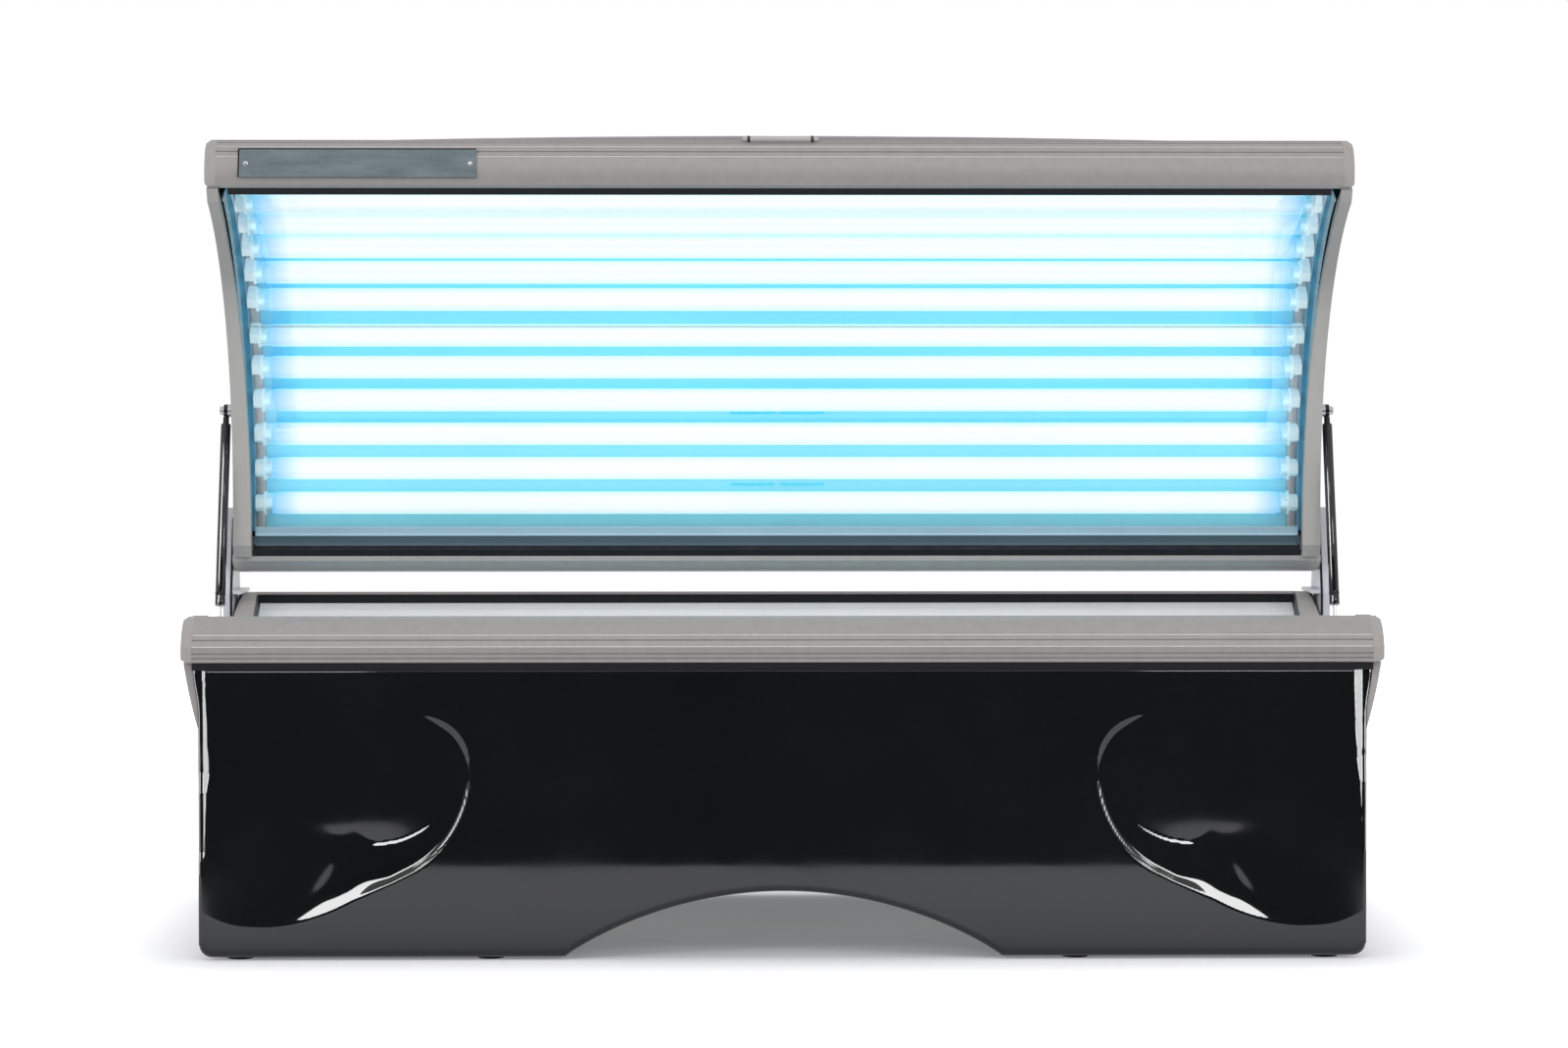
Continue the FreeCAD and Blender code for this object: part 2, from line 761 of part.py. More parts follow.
def fan_frame(x):
    """Square housing with a round duct, a four-armed spider and the rotor's shaft."""
    front, half, reach = panel_back_y - fan_depth, fan_size / 2.0, fan_bore_radius + root_lap
    housing = box(x - half, x + half, front, panel_back_y, fan_centre_z - half, fan_centre_z + half)
    housing = housing.cut(along_y(fan_bore_radius, front, fan_depth, x, fan_centre_z))
    arm = box(x - reach, x + reach, front, front + spider_thickness,
              fan_centre_z - spider_thickness, fan_centre_z + spider_thickness)
    cross = arm.copy()
    cross.rotate(V(x, front, fan_centre_z), AXIS_Y, 90)
    spider = along_y(fan_hub_radius, front, spider_thickness, x, fan_centre_z)
    shaft = along_y(fan_shaft_radius, front, fan_depth - 2 * spider_thickness, x, fan_centre_z)
    return housing.fuse(spider).fuse(arm).fuse(cross).fuse(shaft).removeSplitter()


def fan_rotor(x):
    start = panel_back_y - fan_depth + spider_thickness + fan_end_play
    hub_length = fan_depth - 2 * spider_thickness - 3 * fan_end_play
    root = fan_hub_radius - blade_root
    rotor = along_y(fan_hub_radius, start, hub_length, x, fan_centre_z)
    for i in range(fan_blades):
        blade = Part.makeBox(fan_blade_radius - root, blade_thickness, blade_chord,
                             V(root, -blade_thickness / 2.0, -blade_chord / 2.0))
        blade.rotate(V(0, 0, 0), AXIS_X, blade_pitch)
        blade.rotate(V(0, 0, 0), AXIS_Y, 360.0 * i / fan_blades)
        blade.translate(V(x, start + hub_length / 2.0, fan_centre_z))
        rotor = rotor.fuse(blade)
    bore_radius = fan_shaft_radius + running_clearance
    return rotor.cut(along_y(bore_radius, start - cut_margin, fan_depth, x, fan_centre_z))


def fan_guard(x):
    y, edge = panel_back_y + rear_panel_thickness, fan_bore_radius + guard_lap
    half = guard_ring_width / 2.0
    reach = edge - half
    guard = box(x - reach, x + reach, y, y + guard_thickness, fan_centre_z - half, fan_centre_z + half)
    cross = guard.copy()
    cross.rotate(V(x, y, fan_centre_z), AXIS_Y, 90)
    guard = guard.fuse(cross)
    for radius in guard_ring_radii + (edge,):
        ring = along_y(radius, y, guard_thickness, x, fan_centre_z)
        guard = guard.fuse(ring.cut(along_y(radius - guard_ring_width, y, guard_thickness, x, fan_centre_z)))
    return guard.removeSplitter()


def mains_gland():
    y = panel_back_y - gland_collar_length
    body = along_y(gland_radius - running_clearance, y, gland_length, gland_x, gland_z)
    collar = along_y(gland_radius + gland_collar_wall, panel_back_y + rear_panel_thickness,
                     gland_collar_length, gland_x, gland_z)
    return body.fuse(collar).cut(along_y(gland_bore_radius, y, gland_length, gland_x, gland_z))


def timer_body():
    half = timer_body_size / 2.0
    inner = inner_end_x - end_foot_width
    housing = box(inner - timer_body_depth, inner, timer_y - half, timer_y + half,
                  timer_z - half, timer_z + half)
    shaft = rod(inner - knob_shaft_root, inner_end_x + knob_length - knob_crown, timer_y, timer_z,
                knob_shaft_radius)
    return housing.fuse(shaft)


def timer_hole():
    inner = inner_end_x - end_foot_width - cut_margin
    return rod(inner, inner_end_x + cut_margin, timer_y, timer_z, knob_shaft_radius + seat_gap)


def timer_knob():
    start = inner_end_x + knob_gap
    knob = rod(start, start + knob_length, timer_y, timer_z, knob_radius)
    for i in range(knob_flutes):
        turn = 2 * math.pi * i / knob_flutes
        reach = knob_radius + flute_outset
        flute = rod(start + knob_skirt, start + knob_length, timer_y + reach * math.cos(turn),
                    timer_z + reach * math.sin(turn), flute_radius)
        knob = knob.cut(flute)
    bore = rod(start - cut_margin, start + knob_length - knob_crown, timer_y, timer_z,
               knob_shaft_radius + running_clearance)
    return knob.cut(bore)


# ---------------------------------------------------------------- hinge
def tower():
    """Right-hand upright: a plate that tapers to the hinge eye, with a foot on the bench corner."""
    r = tower_head_radius
    centre = V(tower_inner_x, hinge_y, hinge_z)

    def tangent(y, z, side):
        dy, dz = hinge_y - y, hinge_z - z
        span = math.hypot(dy, dz)
        reach = math.sqrt(span ** 2 - r ** 2)
        lean = math.atan2(dz, dy) + side * math.asin(r / span)
        return V(tower_inner_x, y + reach * math.cos(lean), z + reach * math.sin(lean))

    front_low = V(tower_inner_x, tower_front_y, rim_height)
    back_low = V(tower_inner_x, tower_back_y, rim_height)
    front_top = tangent(front_low.y, front_low.z, 1)
    back_top = tangent(back_low.y, back_low.z, -1)
    crown = V(tower_inner_x, hinge_y, hinge_z + r)
    front_foot = V(tower_inner_x, tower_front_y, tower_bottom)
    back_foot = V(tower_inner_x, tower_back_y, tower_bottom)
    edges = [
        Part.LineSegment(front_foot, front_low).toShape(),
        Part.LineSegment(front_low, front_top).toShape(),
        Part.Arc(front_top, crown, back_top).toShape(),
        Part.LineSegment(back_top, back_low).toShape(),
        Part.LineSegment(back_low, back_foot).toShape(),
        Part.LineSegment(back_foot, front_foot).toShape(),
    ]
    plate = prism(edges, V(tower_thickness, 0, 0))
    foot = box(tower_inner_x - tower_foot_length, tower_inner_x + root_lap, tower_front_y, tower_back_y,
               rim_height + seat_gap, rim_height + tower_foot_thickness)
    hole = rod(tower_inner_x - cut_margin, tower_outer_x + cut_margin, hinge_y, hinge_z, pin_radius)
    return plate.fuse(foot).cut(hole).removeSplitter()


def hinge_pin():
    shank = rod(canopy_inner_x, tower_outer_x, hinge_y, hinge_z, pin_radius)
    head = rod(tower_outer_x, tower_outer_x + pin_head_length, hinge_y, hinge_z, pin_radius + pin_head_rim)
    return shank.fuse(head)


def hinge_bush():
    inner = pin_radius + running_clearance
    return tube(canopy_inner_x, tower_inner_x - hinge_play, hinge_y, hinge_z, pin_radius + bush_wall, inner)


def tower_bolts():
    shapes = []
    for y in (tower_front_y + bolt_inset, tower_back_y - bolt_inset):
        bolt = rod(tower_outer_x, tower_outer_x + bolt_head_height, y, tower_bottom + bolt_rise,
                   bolt_head_radius)
        shapes += both_ends(bolt)
    return shapes


# ---------------------------------------------------------------- canopy, drawn shut
def shell_section(x, half_width, rise):
    base = shell_base_z
    left, right, top = V(x, -half_width, base), V(x, half_width, base), V(x, 0, base + rise)
    ellipse = Part.Ellipse(right, top, V(x, 0, base))
    arc = Part.ArcOfEllipse(ellipse, 0, math.pi).toShape()
    return Part.Wire([arc, Part.LineSegment(left, right).toShape()])


def shell_loft(inset, reach):
    end = [shell_end_half_width - inset, shell_end_rise - inset]
    crown = [shell_crown_half_width - inset, shell_crown_rise - inset]
    quarter = [(3 * c + e) / 4.0 for c, e in zip(crown, end)]
    sections = [(-reach, end), (-reach / 2.0, quarter), (0, crown), (reach / 2.0, quarter), (reach, end)]
    wires = [shell_section(x, size[0], size[1]) for x, size in sections]
    return Part.makeLoft(wires, True, False)


def canopy_shell():
    reach = canopy_inner_x - seat_gap
    return shell_loft(0.0, reach).cut(shell_loft(shell_thickness, reach))


def canopy_end_block(inset, inner_x, outer_x):
    """Solid outline of the canopy's end: the shell's arch above, the lamp arc below."""
    half = shell_end_half_width + canopy_end_proud - inset
    rise = shell_end_rise + canopy_end_proud - inset
    cheek = rail_inner_y - seat_gap - inset
    arch = Part.Face(shell_section(inner_x, half, rise)).extrude(V(outer_x - inner_x, 0, 0))
    legs = box(inner_x, outer_x, -cheek, cheek, shut_rim_z + inset, shut_rail_top + seat_gap)
    return arch.fuse(legs).removeSplitter()


def shut_arc(radius, x0, x1):
    return rod(x0, x1, 0, 2 * mirror_z - arc_z, radius)


def canopy_end():
    body = canopy_end_block(0.0, canopy_inner_x, canopy_outer_x)
    rim_edges = [edge for edge in body.Edges if edge.BoundBox.XMin > canopy_outer_x - cut_margin
                 and edge.BoundBox.ZMax > shut_rail_top + shell_end_rise / 2.0]
    body = body.makeFillet(canopy_end_fillet, rim_edges)
    cavity = canopy_end_block(end_wall, canopy_inner_x - cut_margin, canopy_outer_x - end_wall)
    cavity = cavity.cut(shut_arc(trough_radius + lip_depth, canopy_inner_x - 2 * cut_margin, canopy_outer_x))
    trough = shut_arc(trough_radius, canopy_inner_x - cut_margin, canopy_outer_x + cut_margin)
    body = body.cut(cavity).cut(trough)
    lip = shut_arc(trough_radius + lip_depth, inner_end_x, canopy_inner_x)
    lip = lip.cut(shut_arc(trough_radius, inner_end_x, canopy_inner_x))
    cheek = rail_inner_y - seat_gap
    lip = lip.common(box(inner_end_x, canopy_inner_x, -cheek, cheek,
                         shut_rim_z, shut_rail_top + shell_end_rise))
    front_x = canopy_outer_x - lip_front_width
    rear_x = canopy_outer_x - lip_rear_width
    far_x = inner_end_x - lip_rear_width
    corners = [V(far_x, -cheek, 0), V(front_x, -cheek, 0), V(rear_x, cheek, 0), V(far_x, cheek, 0)]
    wedge = prism(polygon(corners), V(0, 0, bed_length))
    body = body.fuse(lip.cut(wedge))
    hole = rod(inner_end_x - cut_margin, canopy_outer_x + cut_margin, hinge_y, hinge_z,
               boss_radius + seat_gap)
    return body.cut(hole)


def hinge_arm():
    """Steel boss and strap inside the canopy's end, from the hinge to the rear rail's end."""
    outer = canopy_outer_x - end_wall - seat_gap
    inner = outer - arm_thickness
    boss = rod(inner, tower_inner_x - hinge_play, hinge_y, hinge_z, boss_radius)
    low = hinge_z + arm_rise
    strap = box(inner, outer, hinge_y - arm_length, hinge_y, low, low + arm_width)
    bore = rod(inner - cut_margin, tower_inner_x, hinge_y, hinge_z, pin_radius + bush_wall)
    return boss.fuse(strap).cut(bore)


def seam_strip():
    half, middle = seam_strip_width / shield_radius / 2.0, -canopy_seam_shift / lamp_arc_radius
    return sector(shield_radius - seam_strip_depth, shield_radius - seat_gap, middle - half, middle + half,
                  -socket_outer_x + shield_overhang, socket_outer_x - shield_overhang)


def canopy_shields():
    """Rear half, then front half, with a hairline between them under the seam strip."""
    seam_y = -shield_radius * math.sin(canopy_seam_shift / lamp_arc_radius)
    rear = shield_sheet(seam_y + shield_parting, shield_edge_y)
    return rear, shield_sheet(-shield_edge_y, seam_y - shield_parting)


def spine():
    """Flat bar along the canopy, over the reflector's crown."""
    reach = canopy_outer_x - end_wall - seat_gap
    half = spine_width / 2.0
    return box(-reach, reach, -half, half, spine_z, canopy_ballast_z)


def plate_on_rail(length, height, thickness, lift, x):
    """A flat plate that lies on the shoulder of the shut canopy's front rail."""
    start, end = V(rail_width, rail_flat_top, 0), V(rail_lip_width, rail_height, 0)
    slope = math.degrees(math.atan2(end.y - start.y, start.x - end.x))
    top = shoulder_circle()[2]
    plate = Part.makeBox(length, thickness, height, V(-length / 2.0, -thickness - lift, -height / 2.0))
    plate.rotate(V(0, 0, 0), AXIS_X, -(90 - slope))
    middle = rail_point(top.x, top.y)
    plate.translate(V(x, middle.y, middle.z))
    return shut(plate)


def nameplate():
    return plate_on_rail(plate_length, plate_height, plate_thickness, seat_gap, plate_centre_x)


def plate_screws():
    shapes = []
    for side in (-1, 1):
        x = plate_centre_x + side * (plate_length / 2.0 - plate_screw_inset)
        shapes.append(plate_on_rail(plate_screw_size, plate_screw_size, plate_screw_height,
                                    seat_gap + plate_thickness, x))
    return shapes


def top_clip():
    """A small round-ended clip on the upper edge of the front rail's outer face."""
    face_y = -half_depth
    y = face_y - clip_radius + clip_sink
    z = shut_rail_top - clip_radius
    bar = rod(-clip_length / 2.0, clip_length / 2.0, y, z, clip_radius)
    ball = Part.makeSphere(clip_radius, V(clip_length / 2.0, y, z))
    clip = bar.fuse(ball).fuse(mirrored_x(ball))
    return clip.cut(box(-clip_length, clip_length, face_y - seat_gap, face_y + cut_reach,
                        z - cut_reach, z + cut_reach))


# ---------------------------------------------------------------- struts
def strut_frame():
    """Top stud, foot stud, unit direction down the strut and its length, with the canopy open."""
    top = V(strut_x, strut_top_y, strut_top_z)
    foot = V(strut_x, strut_foot_y, strut_foot_z)
    down = foot.sub(top)
    length = down.Length
    return top, foot, down.normalize(), length


def along_strut(distance):
    top, foot, down, length = strut_frame()
    return top.add(V(down).multiply(distance))


def strut_piece(radius, start, end):
    top, foot, down, length = strut_frame()
    return Part.makeCylinder(radius, end - start, along_strut(start), down)


def strut_tube():
    """Cylinder with a guided lower end, and a thin link and a neck up to its eye."""
    hollow = strut_tube_start + strut_end_wall
    outer = strut_piece(strut_tube_radius, strut_tube_start, strut_tube_end)
    inner = strut_piece(strut_tube_radius - strut_tube_wall, hollow, strut_tube_end - strut_guide_length)
    guide = strut_piece(strut_rod_radius + running_clearance, hollow, strut_tube_end + cut_margin)
    neck = strut_piece(strut_neck_radius, eye_radius + seat_gap, strut_tube_start + root_lap)
    link = strut_piece(strut_link_radius, eye_radius - root_lap, strut_tube_start)
    low = strut_tube_end - strut_collar_inset
    collar = strut_piece(strut_tube_radius + strut_collar_proud, low, low + strut_collar_length)
    body = outer.fuse(collar).cut(inner).cut(guide).fuse(neck).fuse(link)
    top, half = along_strut(0), eye_thickness / 2.0
    eye = rod(strut_x - half, strut_x + half, top.y, top.z, eye_radius)
    bore = rod(strut_x - cut_reach, strut_x + cut_reach, top.y, top.z, stud_radius + running_clearance)
    return body.fuse(eye).cut(bore)


def strut_rod():
    top, foot, down, length = strut_frame()
    start = strut_tube_end - strut_guide_length - strut_rod_hidden
    shaft = strut_piece(strut_rod_radius, start, length - foot_eye_bore - root_lap)
    piston_radius = strut_tube_radius - strut_tube_wall - running_clearance
    piston = strut_piece(piston_radius, start, start + strut_piston_length)
    half = eye_thickness / 2.0
    ring = tube(strut_x - half, strut_x + half, foot.y, foot.z, foot_eye_radius, foot_eye_bore)
    return shaft.fuse(piston).fuse(ring)


def stud(y, z, base_x):
    """A shouldered stud for a strut's eye, with a washer and a head outside it."""
    inner_x = strut_x - eye_thickness / 2.0 - seat_gap
    outer_x = strut_x + eye_thickness / 2.0 + seat_gap
    head_x = outer_x + washer_thickness
    shank = rod(base_x, outer_x, y, z, stud_radius)
    shoulder = rod(base_x, inner_x, y, z, eye_radius)
    washer = rod(outer_x, head_x, y, z, washer_radius)
    head = rod(head_x, head_x + stud_head_length, y, z, stud_head_radius)
    return shank.fuse(shoulder).fuse(washer).fuse(head).removeSplitter()


def strut_bracket():
    """A bent bracket on the bench end under the pod: base, lower web, outer cheek and the cross pin."""
    y, z, half = strut_foot_y, strut_foot_z, bracket_width / 2.0
    front, back = y - half, y + half
    low, high = z - bracket_below, pod_bottom - bracket_gap
    cheek_x = strut_x + eye_thickness / 2.0 + seat_gap
    outer_x = cheek_x + bracket_thickness
    base = box(inner_end_x, inner_end_x + bracket_thickness, front, back, low, high)
    web = box(inner_end_x, outer_x, front, back, low, low + bracket_thickness)
    cheek = box(cheek_x, outer_x, front, back, low, high)
    corners = [edge for edge in cheek.Edges if edge.BoundBox.XLength > 1 and edge.BoundBox.ZMin > z]
    cheek = cheek.makeFillet((high - z) / 2.0, corners)
    pin = rod(inner_end_x, outer_x, y, z, stud_radius)
    shoulder = rod(inner_end_x, strut_x - eye_thickness / 2.0 - seat_gap, y, z, eye_radius)
    head = rod(outer_x, outer_x + stud_head_length, y, z, stud_head_radius)
    return base.fuse(web).fuse(cheek).fuse(pin).fuse(shoulder).fuse(head).removeSplitter()


# ---------------------------------------------------------------- write every node
def save_bench():
    save("bench_front_rail", [front_rail()])
    save("bench_rear_rail", [mirrored_y(front_rail())])
    save("bench_rail_caps", rail_caps())
    save("bench_shield", [shield_sheet(-shield_edge_y, shield_edge_y)])
    save("bench_shield_gaskets", shield_gaskets())
    save("bench_reflector", [reflector(lamp_angles())])
    save("bench_lamps", lamps(lamp_angles()))
    save("bench_lamp_sockets", sockets(lamp_angles()))
    save("bench_socket_strips", socket_strips())
    save("bench_end_right", [bench_end().cut(timer_hole())])
    save("bench_end_left", [mirrored_x(bench_end())])
    save("bench_front_panel", [front_panel()])
    save("bench_panel_gaskets", panel_gaskets())
    save("bench_rear_panel", [rear_panel()])
    save("base_tubes", base_tubes())
    save("frame_posts", frame_posts())
    save("feet", feet())
    save("ballast_tray", [tray_channel(tray_length, tray_width, frame_top)])
    save("bench_ballasts", ballast_row(ballast_row_y, frame_top + tray_thickness, ballast_height))
    save("bench_starters", starters())
    save("mains_gland", [mains_gland()])
    save("timer_body", [timer_body()])
    save("timer_knob", [timer_knob()])
    for side, name in ((-1, "left"), (1, "right")):
        save("fan_housing_" + name, [fan_frame(side * fan_centre_x)])
        save("fan_rotor_" + name, [fan_rotor(side * fan_centre_x)])
        save("fan_guard_" + name, [fan_guard(side * fan_centre_x)])


def save_hinge():
    save("hinge_tower_right", [tower()])
    save("hinge_tower_left", [mirrored_x(tower())])
    save("hinge_pins", both_ends(hinge_pin()))
    save("tower_bolts", tower_bolts())
    save_canopy("hinge_bushes", both_ends(hinge_bush()))
    save_canopy("hinge_arms", both_ends(hinge_arm()))


def save_canopy_parts():
    angles = canopy_angles()
    save_canopy("canopy_front_rail", [shut(front_rail())])
    save_canopy("canopy_rear_rail", [shut(mirrored_y(front_rail()))])
    save_canopy("canopy_rail_caps", [shut(cap) for cap in rail_caps()])
    save_canopy("canopy_shield_gaskets", [shut(strip) for strip in shield_gaskets()])
    save_canopy("canopy_reflector", [shut(reflector(angles))])
    save_canopy("canopy_lamps", [shut(lamp) for lamp in lamps(angles)])
    save_canopy("canopy_lamp_sockets", [shut(piece) for piece in sockets(angles)])
    save_canopy("canopy_socket_strips", [shut(strip) for strip in socket_strips()])
    rear, front = canopy_shields()
    save_canopy("canopy_shield_rear", [shut(rear)])
    save_canopy("canopy_shield_front", [shut(front)])
    save_canopy("canopy_seam_strip", [shut(seam_strip())])
    save_canopy("canopy_shell", [canopy_shell()])
    save_canopy("canopy_end_right", [canopy_end()])
    save_canopy("canopy_end_left", [mirrored_x(canopy_end())])
    save_canopy("canopy_spine", [spine()])
    save_canopy("canopy_ballasts", ballast_row(0.0, canopy_ballast_z, canopy_ballast_height))
    save_canopy("nameplate", [nameplate()])
    save_canopy("nameplate_screws", plate_screws())
    save_canopy("top_clip", [top_clip()])


def save_struts():
    save("strut_studs_top", both_ends(stud(strut_top_y, strut_top_z, canopy_outer_x)))
    save("strut_brackets", both_ends(strut_bracket()))
    save("strut_tube_right", [strut_tube()])
    save("strut_tube_left", [mirrored_x(strut_tube())])
    save("strut_rod_right", [strut_rod()])
    save("strut_rod_left", [mirrored_x(strut_rod())])


save_bench()
save_hinge()
save_canopy_parts()
save_struts()
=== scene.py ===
import math

import bmesh
import bpy
from bpy.props import FloatProperty, FloatVectorProperty, PointerProperty
from mathutils import Matrix, Vector


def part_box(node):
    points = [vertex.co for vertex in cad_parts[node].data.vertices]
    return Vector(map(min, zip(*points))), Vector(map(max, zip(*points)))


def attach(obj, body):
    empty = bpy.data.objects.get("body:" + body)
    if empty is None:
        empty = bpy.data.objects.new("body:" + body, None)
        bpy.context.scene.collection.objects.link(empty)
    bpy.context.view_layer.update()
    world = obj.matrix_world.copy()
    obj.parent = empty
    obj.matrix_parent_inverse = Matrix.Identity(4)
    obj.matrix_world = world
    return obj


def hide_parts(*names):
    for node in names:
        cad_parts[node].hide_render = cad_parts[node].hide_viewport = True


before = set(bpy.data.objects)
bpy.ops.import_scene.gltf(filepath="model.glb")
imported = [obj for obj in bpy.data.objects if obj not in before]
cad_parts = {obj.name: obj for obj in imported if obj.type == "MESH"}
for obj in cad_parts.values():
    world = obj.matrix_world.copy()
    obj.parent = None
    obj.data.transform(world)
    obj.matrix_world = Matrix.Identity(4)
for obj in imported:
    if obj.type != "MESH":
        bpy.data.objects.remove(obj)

bl_info = {
    "name": "Clamshell Tanning Bed",
    "version": (1, 0, 0),
    "blender": (4, 5, 0),
    "location": "3D View > Sidebar > Tanning Bed",
    "description": "Dresses the clamshell tanning bed's solids with its finished pieces and materials",
    "category": "Add Mesh",
}

# The bed's own places and sizes, in metres: two that the frame gives as boxes, and the solids' own.
PANEL_LOW, PANEL_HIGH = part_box("bench_front_panel")
LAMP_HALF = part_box("bench_lamps")[1].x
HINGE = Vector((0.0, 0.330, 0.648))
OPEN_ANGLE = math.radians(61.0)
ARC_Z = 0.93087                   # height of the bench unit's arc centre
MIRROR_Z = 0.5385                 # the bench unit and the shut canopy mirror each other about this height
LAMP_ARC = 0.572
LAMP_RADIUS = 0.019
RAIL_INNER_Y = 0.345
FRONT = Vector((0.0, -1.0, 0.0))


# ---------------------------------------------------------------- sizes and colours
class BedFinish(bpy.types.PropertyGroup):
    rail_colour: FloatVectorProperty(
        name="Rail colour", description="Anodised rails", subtype="COLOR",
        size=4, min=0, max=1, default=(0.383, 0.362, 0.348, 1))
    moulding_colour: FloatVectorProperty(
        name="Moulding colour", description="Beige end mouldings and caps", subtype="COLOR",
        size=4, min=0, max=1, default=(0.43, 0.405, 0.385, 1))
    gloss_colour: FloatVectorProperty(
        name="Gloss black", description="Body colour of the gloss front panel", subtype="COLOR",
        size=4, min=0, max=1, default=(0.0088, 0.0096, 0.0108, 1))
    shell_colour: FloatVectorProperty(
        name="Shell colour", description="Moulded canopy shell", subtype="COLOR",
        size=4, min=0, max=1, default=(0.185, 0.172, 0.185, 1))
    lamp_strength: FloatProperty(
        name="Lamp strength", description="How brightly the lamp tubes glow", default=0.95, min=0)


class BedSizes(bpy.types.PropertyGroup):
    panel_roll: FloatProperty(
        name="Panel edge roll", description="Radius of the front panel's rolled edges",
        default=0.012, min=0.002, unit="LENGTH")
    panel_corner: FloatProperty(
        name="Panel corner", description="Radius of the front panel's lower corners",
        default=0.020, min=0.002, unit="LENGTH")
    scoop_depth: FloatProperty(
        name="Scoop depth", description="Depth of the two scoops in the front panel",
        default=0.0058, min=0.001, unit="LENGTH")
    lamp_cap_length: FloatProperty(
        name="Lamp cap length", description="Length of a lamp's metal end cap",
        default=0.016, min=0.004, unit="LENGTH")


# ---------------------------------------------------------------- shader node helpers
def new_group(name, inputs, outputs):
    """A shader node group with its sockets, ready for its nodes."""
    group = bpy.data.node_groups.new(name, "ShaderNodeTree")
    kinds = {float: "NodeSocketFloat", tuple: "NodeSocketColor", Vector: "NodeSocketVector"}
    for label, value in inputs.items():
        socket = group.interface.new_socket(label, in_out="INPUT", socket_type=kinds[type(value)])
        socket.default_value = value
    for label, kind in outputs.items():
        group.interface.new_socket(label, in_out="OUTPUT", socket_type=kinds[kind])
    return group, group.nodes.new("NodeGroupInput").outputs, group.nodes.new("NodeGroupOutput").inputs


def feed(tree, socket, value):
    """Links a socket to another node's output, or sets it to a plain value."""
    if isinstance(value, bpy.types.NodeSocket):
        tree.links.new(value, socket)
    else:
        socket.default_value = value


def put(tree, kind, inputs, **settings):
    """A node with its settings and its inputs fed."""
    node = tree.nodes.new(kind)
    for name, value in settings.items():
        setattr(node, name, value)
    for key, value in inputs.items():
        feed(tree, node.inputs[key], value)
    return node


def ramp(tree, source, low, high, dark=0.0, bright=1.0):
    """The source's span from low to high, spread from dark to bright."""
    return put(tree, "ShaderNodeMapRange", {0: source, 1: low, 2: high, 3: dark, 4: bright}).outputs[0]


def mix(tree, factor, first, second):
    return put(tree, "ShaderNodeMix", {0: factor, 6: first, 7: second}, data_type="RGBA").outputs[2]


def maths(tree, operation, first, second=0.0):
    return put(tree, "ShaderNodeMath", {0: first, 1: second}, operation=operation).outputs[0]


def vectors(tree, operation, inputs):
    return put(tree, "ShaderNodeVectorMath", inputs, operation=operation).outputs


def spot(tree):
    """The surface's place in its own object."""
    return put(tree, "ShaderNodeTexCoord", {}).outputs["Object"]


def noise(tree, place, scale, detail, rough=0.5):
    return put(tree, "ShaderNodeTexNoise",
               {"Vector": place, "Scale": scale, "Detail": detail, "Roughness": rough}).outputs["Fac"]


def bump(tree, height, strength, distance):
    return put(tree, "ShaderNodeBump",
               {"Height": height, "Strength": strength, "Distance": distance}).outputs[0]


GREY = (0.5, 0.5, 0.5, 1.0)


def group_grain():
    """Fine lines along one axis, as a brushed or drawn metal has them."""
    group, enter, leave = new_group(
        "drawn_grain", {"Stretch": Vector((1.0, 1.0, 1.0)), "Scale": 300.0}, {"Mask": float})
    stretched = vectors(group, "MULTIPLY", {0: spot(group), 1: enter["Stretch"]})[0]
    feed(group, leave["Mask"], noise(group, stretched, enter["Scale"], 3.0, 0.6))
    return group


def group_mottle():
    """Slow variation of a tone, for mouldings, paint and cast surfaces."""
    group, enter, leave = new_group(
        "slow_mottle", {"Colour": GREY, "Scale": 6.0, "Amount": 0.1}, {"Colour": tuple, "Mask": float})
    place = spot(group)
    broad = maths(group, "MULTIPLY", noise(group, place, enter["Scale"], 4.0, 0.55), 0.75)
    fine = maths(group, "MULTIPLY", noise(group, place, 140.0, 2.0), 0.25)
    both = maths(group, "ADD", broad, fine)
    swing = maths(group, "MULTIPLY", ramp(group, both, 0.3, 0.7, -1.0, 1.0), enter["Amount"])
    toned = vectors(group, "SCALE", {0: enter["Colour"], "Scale": maths(group, "ADD", swing, 1.0)})
    feed(group, leave["Colour"], toned[0])
    feed(group, leave["Mask"], both)
    return group


def group_dust():
    """Settled dust and handling marks: more of it on faces that look up."""
    group, enter, leave = new_group(
        "settled_dust", {"Colour": GREY, "Dust": (0.42, 0.41, 0.40, 1.0), "Amount": 0.25},
        {"Colour": tuple, "Mask": float})
    normal = put(group, "ShaderNodeNewGeometry", {}).outputs["Normal"]
    facing = ramp(group, put(group, "ShaderNodeSeparateXYZ", {0: normal}).outputs["Z"], 0.15, 0.95)
    patchy = ramp(group, noise(group, spot(group), 38.0, 6.0, 0.7), 0.42, 0.70)
    mask = maths(group, "MULTIPLY", maths(group, "MULTIPLY", facing, patchy), enter["Amount"])
    feed(group, leave["Colour"], mix(group, mask, enter["Colour"], enter["Dust"]))
    feed(group, leave["Mask"], mask)
    return group


def group_wear():
    """Rubbed edges, lighter where a convex edge has been handled."""
    group, enter, leave = new_group(
        "rubbed_edges", {"Colour": GREY, "Bare": (0.7, 0.7, 0.7, 1.0), "Amount": 0.3}, {"Colour": tuple})
    edge = ramp(group, put(group, "ShaderNodeNewGeometry", {}).outputs["Pointiness"], 0.53, 0.60)
    broken = ramp(group, noise(group, spot(group), 60.0, 5.0), 0.35, 0.65)
    mask = maths(group, "MULTIPLY", maths(group, "MULTIPLY", edge, broken), enter["Amount"])
    feed(group, leave["Colour"], mix(group, mask, enter["Colour"], enter["Bare"]))
    return group


